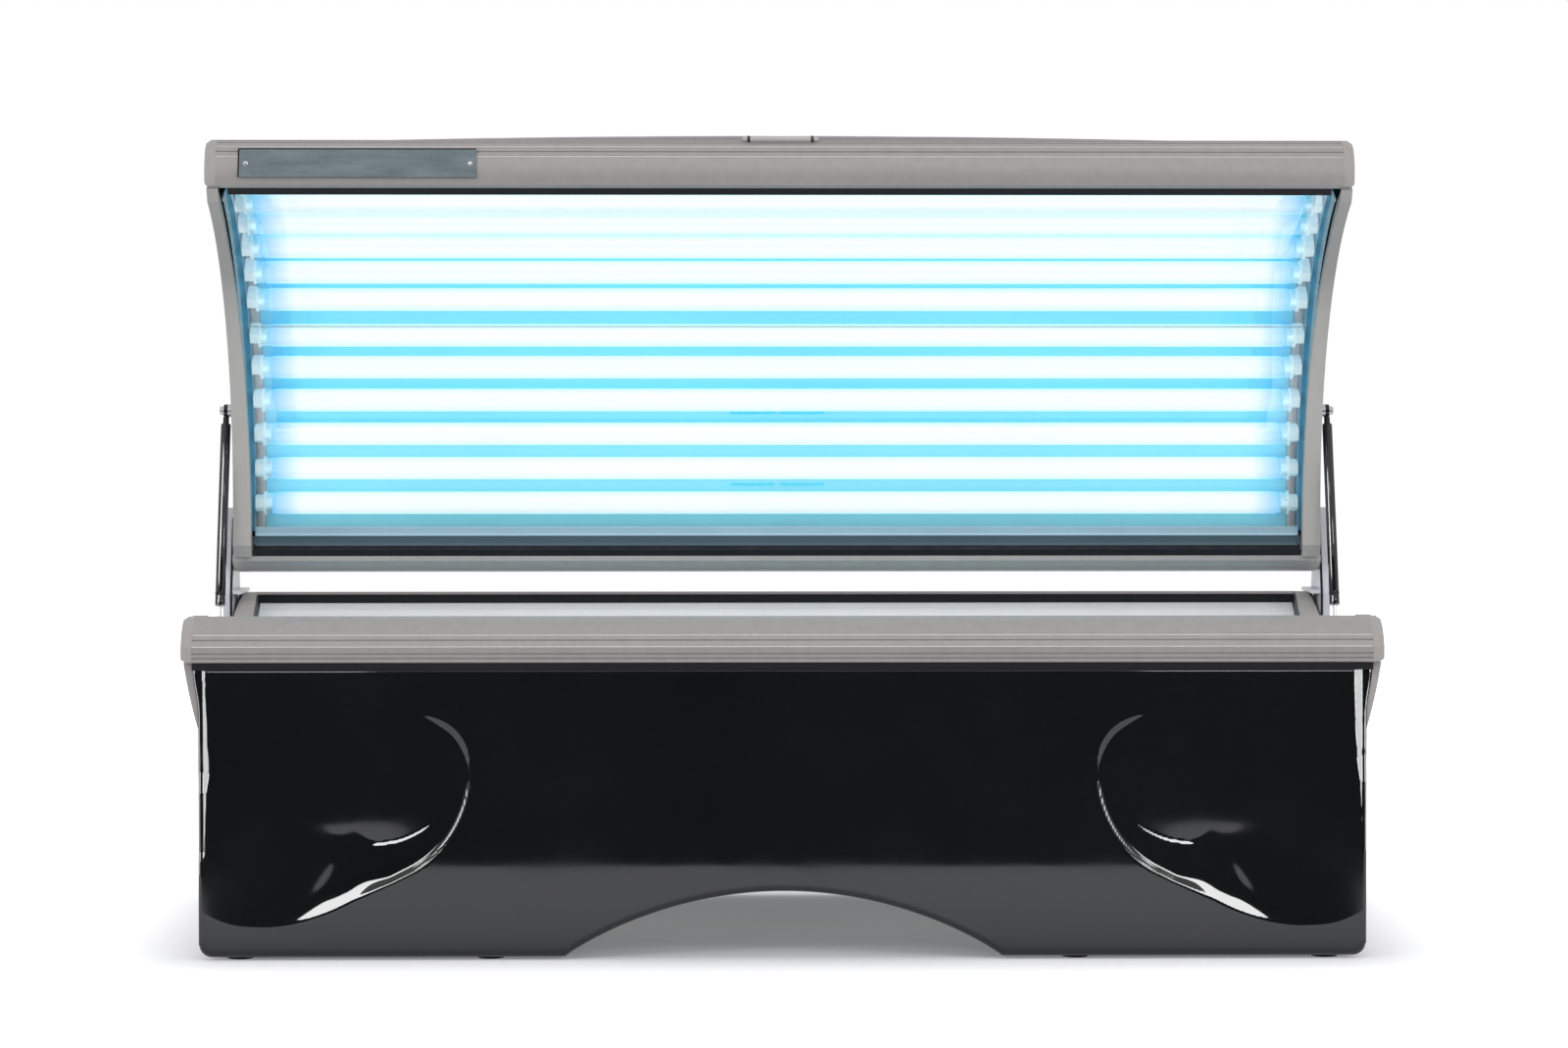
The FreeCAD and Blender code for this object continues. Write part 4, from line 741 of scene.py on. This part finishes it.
# The nameplate's seat on the shoulder of the shut canopy's front rail, with its directions in (y, z).
PLATE_PLACE = Vector((-0.675, -0.38154, 0.56922))
PLATE_UP, PLATE_OUT = (0.722, -0.692), (-0.692, -0.722)
CLIP_PLACE = Vector((0.0, -0.4028, 0.6155))
# Half the clip's lathe profile from its middle, as (along, radius), and the black band near its end.
CLIP_HALF = ((0.0, 0.0050), (0.0488, 0.0050), (0.0490, 0.0058), (0.0510, 0.0060), (0.0530, 0.0058),
             (0.0532, 0.0042), (0.0575, 0.0042), (0.0600, 0.0036), (0.0612, 0.0020), (0.0615, 0.0))
CLIP_BAND = (0.0484, 0.0533)
PLATE_SCREW_X = 0.179
PLATE_SCREW = ((0.0, 0.0038), (0.0006, 0.0038), (0.0014, 0.0030), (0.0018, 0.0016), (0.0010, 0.0010),
               (0.0010, 0.0))
# A black rubber sheet under the plate that shows only past its left and lower edges, a painted shadow: its
# corners on the seat, its thickness, and the screw heads' height above it.
SHADOW_SHEET = ((-0.1914, -0.0252), (0.1886, -0.0252), (0.1886, 0.0226), (-0.1914, 0.0226))
SHADOW_SHEET_THICKNESS, PLATE_FACE = 0.0014, 0.0018


def canopy_slots():
    """Angles of the reflector's slots, in every second gap between lamps."""
    angles = lamp_angles("canopy")
    return [(first + second) / 2 for first, second in zip(angles[::2], angles[1::2])]


def plate_seat():
    """The seat in the open canopy: X along the rail, Y up its face, Z outwards."""
    (up_y, up_z), (out_y, out_z) = PLATE_UP, PLATE_OUT
    x, y, z = PLATE_PLACE
    return open_canopy() @ Matrix(((1, 0, 0, x), (0, up_y, out_y, y), (0, up_z, out_z, z), (0, 0, 0, 1)))


class TANBED_OT_canopy_trim(bpy.types.Operator):
    """Builds the canopy's end liners, beads, slot screens, clip and nameplate edge, with painted light and
    shade: the screens' glow, the liners' teal and the black edge under the plate
    """
    bl_idname = "tanbed.canopy_trim"
    bl_label = "Canopy Trim"

    def execute(self, context):
        for name, (section, reach, finish, slot_name) in END_TRIM.items():
            work = bmesh.new()
            for side in (-1, 1):
                arc_band(work, [(side * x, r) for x, r in section], -reach, reach, 48)
            self.raise_piece(name, work, finish, slot_name)
        screens = bmesh.new()
        for angle in canopy_slots():
            for middle in (-SCREEN_MIDDLE, SCREEN_MIDDLE):
                left, right = middle - SCREEN_HALF, middle + SCREEN_HALF
                arc_band(screens, [(left, SCREEN_INNER), (right, SCREEN_INNER), (right, SCREEN_OUTER),
                                   (left, SCREEN_OUTER)], angle - SCREEN_ANGLE, angle + SCREEN_ANGLE, 2)
        self.raise_piece("canopy_slot_glow_sheets", screens, "slot_glow", "reflector")
        self.clip()
        self.plate_shadow_sheet()
        self.plate_screws()
        return {"FINISHED"}

    def raise_piece(self, name, work, finish, slot_name):
        """A piece drawn on the bench unit's arc, taken to the open canopy."""
        bmesh.ops.transform(work, matrix=canopy_turn(), verts=work.verts)
        plain_piece(name, work, finish, "canopy", slot_name)

    def clip(self):
        work = bmesh.new()
        profile = [(-x, r) for x, r in reversed(CLIP_HALF[1:])] + list(CLIP_HALF)
        turned(work, profile, open_canopy() @ CLIP_PLACE, steps=20)
        tidy(work)
        for face in work.faces:
            face.material_index = 1 if CLIP_BAND[0] < abs(face.calc_center_median().x) < CLIP_BAND[1] else 0
        piece = make_piece("top_clip_bar", work, "clip", "canopy", "zinc", "top_clip")
        piece.data.materials.append(MATERIALS["black_plastic"])
        smooth_by_angle(piece.data, 40)

    def plate_screws(self):
        work = bmesh.new()
        for x in (-PLATE_SCREW_X, PLATE_SCREW_X):
            fitted = set(work.verts)
            turned(work, PLATE_SCREW, Vector((0, 0, 0)), "Z", 16)
            bmesh.ops.transform(work, matrix=plate_seat() @ Matrix.Translation((x, 0.0, PLATE_FACE)),
                                verts=[v for v in work.verts if v not in fitted])
        plain_piece("nameplate_screw_heads", work, "chrome", "canopy", "chrome", "nameplate_screws")

    def plate_shadow_sheet(self):
        # The black sheet showing at the plate's left and lower edges is painted shadow.
        work = bmesh.new()
        face = work.faces.new([work.verts.new((x, y, 0.0)) for x, y in SHADOW_SHEET])
        grown = bmesh.ops.extrude_face_region(work, geom=[face])["geom"]
        bmesh.ops.translate(work, vec=(0, 0, SHADOW_SHEET_THICKNESS), verts=verts_in(grown))
        bmesh.ops.transform(work, matrix=plate_seat(), verts=work.verts)
        plain_piece("nameplate_shadow_sheet", work, "rubber", "canopy", "rubber")


# ---------------------------------------------------------------- bench trim
STRIP_HALF = 0.8815               # half the length of the strips along the shields' edges
STRIP_FACE, STRIP_BACK = 0.5397, 0.5399
# A black strip along each tower's inner edge, painted shade where the tower meets the canopy end: from its foot
# to the eye, inner and outer side as (y, z), and its two faces in x.
SHADE_STRIP_INNER = ((0.2720, 0.4020), (0.2720, 0.5250), (0.3076, 0.6520))
SHADE_STRIP_OUTER = ((0.2704, 0.4020), (0.2704, 0.5252), (0.3062, 0.6526))
SHADE_STRIP_X = (0.9215, 0.9255)
# Pale beads in two of each rail's grooves, painted highlights along the ridges: where the face lies and the
# groove's height.
HIGHLIGHT_GROOVES = ((0.39950, 0.4805), (0.39045, 0.4975))
HIGHLIGHT_BEAD_HALF = ((0.00150, 0.00100), (0.00070, 0.00095), (0.00025, 0.00060), (0.00010, 0.0))
HIGHLIGHT_BEAD_REACH = 0.9025


def shield_strip(work, spots, side=1):
    """A thin strip along the shield's edge: (y, how high its face stands) across its section."""
    face = [(side * y, ARC_Z - math.sqrt((STRIP_FACE - height) ** 2 - y * y)) for y, height in spots]
    back = [(side * y, ARC_Z - math.sqrt(STRIP_BACK ** 2 - y * y)) for y, height in spots]
    bar(work, face + back[::-1], -STRIP_HALF, STRIP_HALF)


class TANBED_OT_bench_trim(bpy.types.Operator):
    """Builds the strips that hold the shields, the black strips along the towers' inner edges, which are
    painted shade, and the rails' pale beads, which are painted highlights
    """
    bl_idname = "tanbed.bench_trim"
    bl_label = "Shield Strips, Edging and Beads"

    def execute(self, context):
        for name, start, width, finish in (("canopy_shield_ledge", 0.3075, 0.0115, "ledge_blue"),
                                           ("canopy_shield_bevel", 0.3192, 0.0133, "bevel_teal")):
            work = bmesh.new()
            shield_strip(work, [(start + width * i / 6, 0.0010 if i in (2, 4) else 0.0018) for i in range(7)])
            bmesh.ops.transform(work, matrix=canopy_turn(), verts=work.verts)
            plain_piece(name, work, finish, "canopy", "aluminium", degrees=50)
        self.rail_highlight_beads("bench", Matrix.Identity(4))
        self.rail_highlight_beads("canopy", canopy_turn())
        strips, shade_strips = bmesh.new(), bmesh.new()
        ribs = [0.0] + [0.0016 if i in (2, 3, 6, 7, 10, 11) else 0.0008 for i in range(1, 13)]
        for side in (-1, 1):
            shield_strip(strips, [(0.2985 + 0.0340 * i / 12, height) for i, height in enumerate(ribs)], side)
            bar(shade_strips, SHADE_STRIP_INNER + SHADE_STRIP_OUTER[::-1], *sorted(side * x for x in SHADE_STRIP_X))
        plain_piece("bench_shield_strips", strips, "bright_strip", "bench", "aluminium", degrees=50)
        # The black strips on the towers' inner edges are painted shade.
        plain_piece("tower_shade_strips", shade_strips, "rubber", "bench", "rubber")
        return {"FINISHED"}

    def rail_highlight_beads(self, unit, matrix):
        """The painted-highlight beads of a unit's two rails, drawn on the bench's and moved by the matrix."""
        work = bmesh.new()
        for side in (-1, 1):
            for face_y, z in HIGHLIGHT_GROOVES:
                outline = [(side * (face_y - d), z + h) for d, h in HIGHLIGHT_BEAD_HALF]
                outline += [(side * (face_y - d), z - h) for d, h in HIGHLIGHT_BEAD_HALF[-2::-1]]
                bar(work, outline, -HIGHLIGHT_BEAD_REACH, HIGHLIGHT_BEAD_REACH)
        bmesh.ops.transform(work, matrix=matrix, verts=work.verts)
        plain_piece(unit + "_rail_highlight_beads", work, "highlight_bead", unit, "aluminium", degrees=60)


# ---------------------------------------------------------------- struts
STRUT_TOP = Vector((0.930, 0.271, 0.835))
STRUT_FOOT = Vector((0.930, 0.106, 0.29707))
# From the top stud down the tube, above and below the collar.
SLEEVE_RUNS = ((0.0255, 0.3155), (0.3206, 0.3376))
SLEEVE_INNER, SLEEVE_OUTER, SLEEVE_EDGE = 0.00803, 0.00840, 0.0006


class TANBED_OT_strut_sleeves(bpy.types.Operator):
    """Builds the painted sleeves over the struts' tubes, above and below the collar"""
    bl_idname = "tanbed.strut_sleeves"
    bl_label = "Strut Sleeves"

    def execute(self, context):
        inner, outer, edge = SLEEVE_INNER, SLEEVE_OUTER, SLEEVE_EDGE
        along = (STRUT_FOOT - STRUT_TOP).normalized()
        turn = Vector((1, 0, 0)).rotation_difference(along).to_matrix().to_4x4()
        for name, side in (("left", -1), ("right", 1)):
            work = bmesh.new()
            for start, end in SLEEVE_RUNS:
                profile = [(start, inner), (start, outer - edge / 2), (start + edge, outer),
                           (end - edge, outer), (end, outer - edge / 2), (end, inner), (start, inner)]
                turned(work, profile, Vector((0, 0, 0)), steps=28)
            top = Vector((side * STRUT_TOP.x, STRUT_TOP.y, STRUT_TOP.z))
            bmesh.ops.transform(work, matrix=Matrix.Translation(top) @ turn, verts=work.verts)
            plain_piece("strut_sleeve_" + name, work, "strut_sleeve", "strut_tube_" + name, "strut_black",
                        degrees=40)
        return {"FINISHED"}


# ---------------------------------------------------------------- lamp ends
COLLAR = ((0.8660, 0.0186), (0.8660, 0.0198), (0.8666, 0.0204), (0.8694, 0.0204), (0.8699, 0.0198),
          (0.8699, 0.0186), (0.8660, 0.0186))


class TANBED_OT_lamp_collars(bpy.types.Operator):
    """Builds the moulded collars where the lamps enter their sockets"""
    bl_idname = "tanbed.lamp_collars"
    bl_label = "Lamp Collars"

    def execute(self, context):
        for unit in LAMP_ROWS:
            work = bmesh.new()
            for angle in lamp_angles(unit):
                for side in (-1, 1):
                    turned(work, [(side * x, r) for x, r in COLLAR], lamp_axis(unit, angle), steps=20)
            plain_piece(unit + "_lamp_collars", work, "white_plastic", unit, "white_plastic")
        return {"FINISHED"}


# ---------------------------------------------------------------- fasteners and rear details
REAR_FACE = 0.3861                # just off the rear panel's sheet
SCREW = ((0.0, 0.0046), (0.0009, 0.0046), (0.0019, 0.0036), (0.0023, 0.0020), (0.0012, 0.0014), (0.0012, 0.0))
SCREW_COLUMNS, SCREW_ROWS = (0.15, 0.45, 0.66, 0.86), (0.060, 0.425)
FAN_X, FAN_Z, FAN_SCREW = 0.240, 0.230, 0.052
LOUVRE_X, LOUVRE_HALF, LOUVRE_LOW, LOUVRE_PITCH = 0.560, 0.151, 0.190, 0.014
# A louvre's hood as (how far it stands off the sheet, height over its row).
HOOD = ((0.0, 0.0082), (0.0, 0.0056), (0.0029, 0.0046), (0.0051, 0.0018), (0.0060, 0.0018), (0.0039, 0.0056),
        (0.0019, 0.0074))
GLAND_PLACE = Vector((0.800, REAR_FACE, 0.090))
GLAND_NUT = ((0.0, 0.0150), (0.0, 0.0185), (0.0015, 0.0200), (0.0055, 0.0200), (0.0070, 0.0185),
             (0.0070, 0.0150), (0.0, 0.0150))


class TANBED_OT_rear_details(bpy.types.Operator):
    """Builds the louvre hoods, the rear screws and the gland's nut"""
    bl_idname = "tanbed.rear_details"
    bl_label = "Rear Details"

    def execute(self, context):
        hoods, screws, nut = bmesh.new(), bmesh.new(), bmesh.new()
        for middle in (-LOUVRE_X, LOUVRE_X):
            for row in range(12):
                z = LOUVRE_LOW + LOUVRE_PITCH * row
                bar(hoods, [(REAR_FACE + off, z + up) for off, up in HOOD], middle - LOUVRE_HALF,
                    middle + LOUVRE_HALF)
        columns = [-x for x in reversed(SCREW_COLUMNS)] + list(SCREW_COLUMNS)
        places = [(x, z) for z in SCREW_ROWS for x in columns]
        places += [(fan + dx, FAN_Z + dz) for fan in (-FAN_X, FAN_X) for dx in (-FAN_SCREW, FAN_SCREW)
                   for dz in (-FAN_SCREW, FAN_SCREW)]
        for x, z in places:
            turned(screws, SCREW, Vector((x, REAR_FACE, z)), "Y", 12)
        turned(nut, GLAND_NUT, GLAND_PLACE, "Y", 6)
        plain_piece("louvre_hoods", hoods, "steel", "bench", "steel", degrees=50)
        plain_piece("rear_screws", screws, "zinc", "bench", "zinc", degrees=40)
        plain_piece("gland_nut", nut, "black_plastic", "bench", "black_plastic", degrees=30)
        return {"FINISHED"}


TIMER_PLACE = Vector((0.8866, -0.250, 0.215))
DIAL_RING = ((0.0, 0.0215), (0.0, 0.0330), (0.0006, 0.0335), (0.0009, 0.0330), (0.0009, 0.0215), (0.0, 0.0215))
# The dial's ticks: where they begin and end, every fifth one and the others, and half their width.
TICK_START, LONG_TICK, SHORT_TICK, TICK_HALF = 0.0245, 0.0305, 0.0285, 0.0005
POINTER_X, POINTER_HALF, POINTER_START, POINTER_END = (0.9044, 0.9049), 0.0009, 0.0065, 0.0185


class TANBED_OT_controls(bpy.types.Operator):
    """Builds the timer's dial ring, its ticks and the knob's pointer"""
    bl_idname = "tanbed.controls"
    bl_label = "Controls"

    def execute(self, context):
        place = TIMER_PLACE
        ring, ticks, pointer = bmesh.new(), bmesh.new(), bmesh.new()
        turned(ring, DIAL_RING, place, steps=48)
        for step in range(11):
            turn = math.radians(-150 + 30 * step)
            end = LONG_TICK if step % 5 == 0 else SHORT_TICK
            outline = [(TICK_START, -TICK_HALF), (end, -TICK_HALF), (end, TICK_HALF), (TICK_START, TICK_HALF)]
            across, up = Vector((-math.sin(turn), math.cos(turn))), Vector((math.cos(turn), math.sin(turn)))
            bar(ticks, [tuple(place.yz + across * r + up * w) for r, w in outline], place.x + 0.0008,
                place.x + 0.0013)
        low, high = place.z + POINTER_START, place.z + POINTER_END
        left, right = place.y - POINTER_HALF, place.y + POINTER_HALF
        bar(pointer, [(left, low), (right, low), (right, high), (left, high)], *POINTER_X)
        plain_piece("timer_dial_ring", ring, "black_plastic", "bench", "black_plastic")
        plain_piece("timer_dial_ticks", ticks, "white_plastic", "bench", "white_plastic")
        plain_piece("timer_knob_pointer", pointer, "white_plastic", "timer_knob", "white_plastic")
        return {"FINISHED"}


# ---------------------------------------------------------------- stage
def add_object(name, data):
    """An object at the origin, in the scene."""
    item = bpy.data.objects.new(name, data)
    bpy.context.scene.collection.objects.link(item)
    return item


def soft_box(name, place, aim, size, strength, colour=(1, 1, 1)):
    """A rectangular light at a place, turned to what it aims at."""
    light = bpy.data.lights.new(name, "AREA")
    light.shape, (light.size, light.size_y) = "RECTANGLE", size
    light.energy, light.color = strength, colour
    lamp = add_object(name, light)
    lamp.location = place
    lamp.rotation_euler = (Vector(aim) - Vector(place)).to_track_quat("-Z", "Y").to_euler()
    lamp.visible_camera = False
    return lamp


def gloss_light(name, place, aim, size, radiance, shown_by):
    """A light that only the named glossy pieces show: it draws their highlights and lights nothing."""
    lamp = soft_box(name, place, aim, size, radiance * math.pi * size[0] * size[1])
    lamp.visible_diffuse = lamp.visible_transmission = lamp.visible_volume_scatter = False
    lamp.light_linking.receiver_collection = shown_by


def gloss_pieces(name, *pieces):
    collection = bpy.data.collections.new(name)
    for piece in pieces:
        collection.objects.link(bpy.data.objects[piece])
    return collection


def stage_sheet(name, corners, colour, rough, dark_card=False):
    """A flat floor or card between two corners, with a quiet procedural surface."""
    (x0, y0, z0), (x1, y1, z1) = corners
    work = bmesh.new()
    bmesh.ops.create_grid(work, x_segments=8, y_segments=8, size=1.0)
    for vert in work.verts:
        u, v = (vert.co.x + 1) / 2, (vert.co.y + 1) / 2
        vert.co = Vector((x0 + (x1 - x0) * u, y0 + (y1 - y0) * v, z0 + (z1 - z0) * v))
    mesh = bpy.data.meshes.new(name)
    work.to_mesh(mesh)
    work.free()
    card = add_object(name, mesh)
    material, tree, shader = start_material(name)
    toned = use(tree, "mottle", Colour=colour, Scale=2.0, Amount=0.01)
    shade(tree, shader, {"Base Color": toned["Colour"], "Roughness": rough})
    mesh.materials.append(material)
    if dark_card:
        shade(tree, shader, {"Specular IOR Level": 0.0})
        for ray in ("camera", "diffuse", "transmission", "volume_scatter", "shadow"):
            setattr(card, "visible_" + ray, False)
    return material


def directly_seen(tree):
    """One where a ray comes from the eye, from gloss or through glass."""
    path = put(tree, "ShaderNodeLightPath", {}).outputs
    return maths(tree, "MAXIMUM", path["Is Camera Ray"],
                 maths(tree, "MAXIMUM", path["Is Glossy Ray"], path["Is Transmission Ray"]))


def white_world():
    """White where it is seen directly, in gloss or through glass; a quiet fill light otherwise."""
    world = bpy.data.worlds.new("white_studio")
    bpy.context.scene.world = world
    world.use_nodes = True
    tree = world.node_tree
    tree.nodes.clear()
    fill = put(tree, "ShaderNodeBackground", {"Strength": 0.70, "Color": (0.96, 0.97, 1.0, 1)})
    plain = put(tree, "ShaderNodeBackground", {"Strength": 1.0, "Color": (1, 1, 1, 1)})
    both = put(tree, "ShaderNodeMixShader", {0: directly_seen(tree), 1: fill.outputs[0], 2: plain.outputs[0]})
    put(tree, "ShaderNodeOutputWorld", {"Surface": both.outputs[0]})


def place_camera():
    camera = bpy.data.cameras.new("bed_camera")
    camera.lens, camera.sensor_width = 92.25, 36.0
    camera.clip_end = 60.0
    holder = add_object("bed_camera", camera)
    holder.location = (-0.096, -6.523, 0.8915)
    pitch, turn = math.radians(90.0 - 2.09), math.radians(-0.9)
    holder.rotation_euler = (pitch, 0.0, turn)
    bpy.context.scene.camera = holder


FLOOR_HALF, CARD_HALF, CARD_FAR, CARD_NEAR, CARD_TOP = 9, 7, -9.0, -1.55, 3.2
CARD_COLOUR, DULL = (0.012, 0.012, 0.014, 1), 0.9
# Lights on the right-hand side, mirrored to the left: place, what they aim at, size and strength.
KEY = ((2.6, -3.2, 2.2), (0, 0, 0.5), (0.5, 0.6), 19)
PANEL_SHINES = {
    "front_shine_": ((1.75, -4.7, 1.40), (0.6, -0.4, 0.2), (1.5, 0.8), 20),
    "side_shine_": ((2.95, -1.54, 1.50), (0.5, -0.4, 0.5), (0.9, 2.9), 16),
    "fold_shine_": ((2.07, -0.63, 0.40), (0.89, -0.4, 0.30), (0.45, 0.74), 11),
}


class TANBED_OT_stage(bpy.types.Operator):
    """Sets the floor, the studio light and the camera"""
    bl_idname = "tanbed.stage"
    bl_label = "Studio Stage"

    def execute(self, context):
        context.scene.view_settings.view_transform = "Standard"
        white_world()
        place_camera()
        stage_floor()
        stage_sheet("dark_floor_card", ((-CARD_HALF, CARD_FAR, 0.004), (CARD_HALF, CARD_NEAR, 0.004)),
                    CARD_COLOUR, DULL, True)
        stage_sheet("dark_front_card", ((-CARD_HALF, CARD_FAR, 0.0), (CARD_HALF, CARD_FAR, CARD_TOP)),
                    CARD_COLOUR, DULL, True)
        soft_box("top_front", (0.0, -3.0, 3.3), (0, 0, 0.4), (1.6, 0.3), 6)
        panel = gloss_pieces("panel_gloss", "front_panel_gloss")
        struts = gloss_pieces("strut_gloss", "strut_sleeve_left", "strut_sleeve_right")
        for name, side in (("left", -1), ("right", 1)):
            (x, y, z), aim, size, strength = KEY
            soft_box("key_" + name, (x * side, y, z), aim, size, strength)
            for shine, ((x, y, z), (to_x, to_y, to_z), size, radiance) in PANEL_SHINES.items():
                gloss_light(shine + name, (x * side, y, z), (to_x * side, to_y, to_z), size, radiance, panel)
        gloss_light("strut_shine", (-3.3, -2.9, 2.6), (-0.9, 0.2, 0.6), (2.0, 3.6), 20, struts)
        glow = soft_box("canopy_glow", (0.0, -0.05, 0.95), (0.0, 0.32, 0.45), (1.7, 0.2), 2.6,
                        (0.93, 0.98, 1.0))
        glow.visible_glossy = glow.visible_transmission = False
        return {"FINISHED"}


def stage_floor():
    """A pale floor: white to the eye away from the bed; its lift fades near the bed, which paints shade round
    the bed over its real shadow.
    """
    material = stage_sheet("studio_floor", ((-FLOOR_HALF, -FLOOR_HALF, 0.0), (FLOOR_HALF, FLOOR_HALF, 0.0)),
                           (0.80, 0.80, 0.81, 1), DULL)
    tree = material.node_tree
    mirrored = vectors(tree, "ABSOLUTE", {0: spot(tree)})[0]
    beyond = vectors(tree, "SUBTRACT", {0: mirrored, 1: (0.86, 0.36, 0.0)})[0]
    outside = vectors(tree, "MAXIMUM", {0: beyond, 1: (0.0, 0.0, 0.0)})[0]
    away = vectors(tree, "LENGTH", {0: outside})["Value"]
    # Weaker lift near the bed: painted shade round it.
    near, far = ramp(tree, away, 0.0, 0.30, 0.16, 0.82), ramp(tree, away, 0.30, 0.8, 0.0, 0.18)
    lift = maths(tree, "MULTIPLY", directly_seen(tree), maths(tree, "ADD", near, far))
    white = put(tree, "ShaderNodeCombineColor", {0: lift, 1: lift, 2: lift}).outputs[0]
    shade(tree, shader_of(material), {
        "Emission Color": white, "Emission Strength": 1.0, "Specular IOR Level": 0.1})


class TANBED_OT_finishes(bpy.types.Operator):
    """Builds the finishes and dresses the bed's nodes"""
    bl_idname = "tanbed.finishes"
    bl_label = "Finishes"

    def execute(self, context):
        build_materials(context.scene.tanbed_finish)
        # The white plastic and the lamp caps glow faintly: painted light.
        painted_glow(MATERIALS["white_plastic"], (0.55, 0.80, 0.88, 1), 0.30)
        painted_glow(MATERIALS["lamp_cap"], (0.30, 0.72, 0.90, 1), 0.30)
        dress_nodes()
        return {"FINISHED"}


class TANBED_PT_sidebar(bpy.types.Panel):
    """Lists the bed's pieces, sizes and colours"""
    bl_idname = "TANBED_PT_sidebar"
    bl_label = "Tanning Bed"
    bl_space_type = "VIEW_3D"
    bl_region_type = "UI"
    bl_category = "Tanning Bed"

    def draw(self, context):
        for group in (context.scene.tanbed_sizes, context.scene.tanbed_finish):
            for name in group.__annotations__:
                self.layout.prop(group, name)
        for operator in OPERATORS:
            self.layout.operator(operator.bl_idname)


OPERATORS = (
    TANBED_OT_finishes,
    TANBED_OT_front_panel,
    TANBED_OT_lamps,
    TANBED_OT_lamp_collars,
    TANBED_OT_canopy_trim,
    TANBED_OT_bench_trim,
    TANBED_OT_strut_sleeves,
    TANBED_OT_rear_details,
    TANBED_OT_controls,
    TANBED_OT_stage,
)
CLASSES = (BedFinish, BedSizes) + OPERATORS + (TANBED_PT_sidebar,)


def register():
    for item in CLASSES:
        bpy.utils.register_class(item)
    bpy.types.Scene.tanbed_finish = PointerProperty(type=BedFinish)
    bpy.types.Scene.tanbed_sizes = PointerProperty(type=BedSizes)


def unregister():
    del bpy.types.Scene.tanbed_sizes
    del bpy.types.Scene.tanbed_finish
    for item in reversed(CLASSES):
        bpy.utils.unregister_class(item)


def main():
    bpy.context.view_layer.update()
    register()
    for operator in OPERATORS:
        group, name = operator.bl_idname.split(".")
        getattr(getattr(bpy.ops, group), name)()


if __name__ == "__main__":
    main()
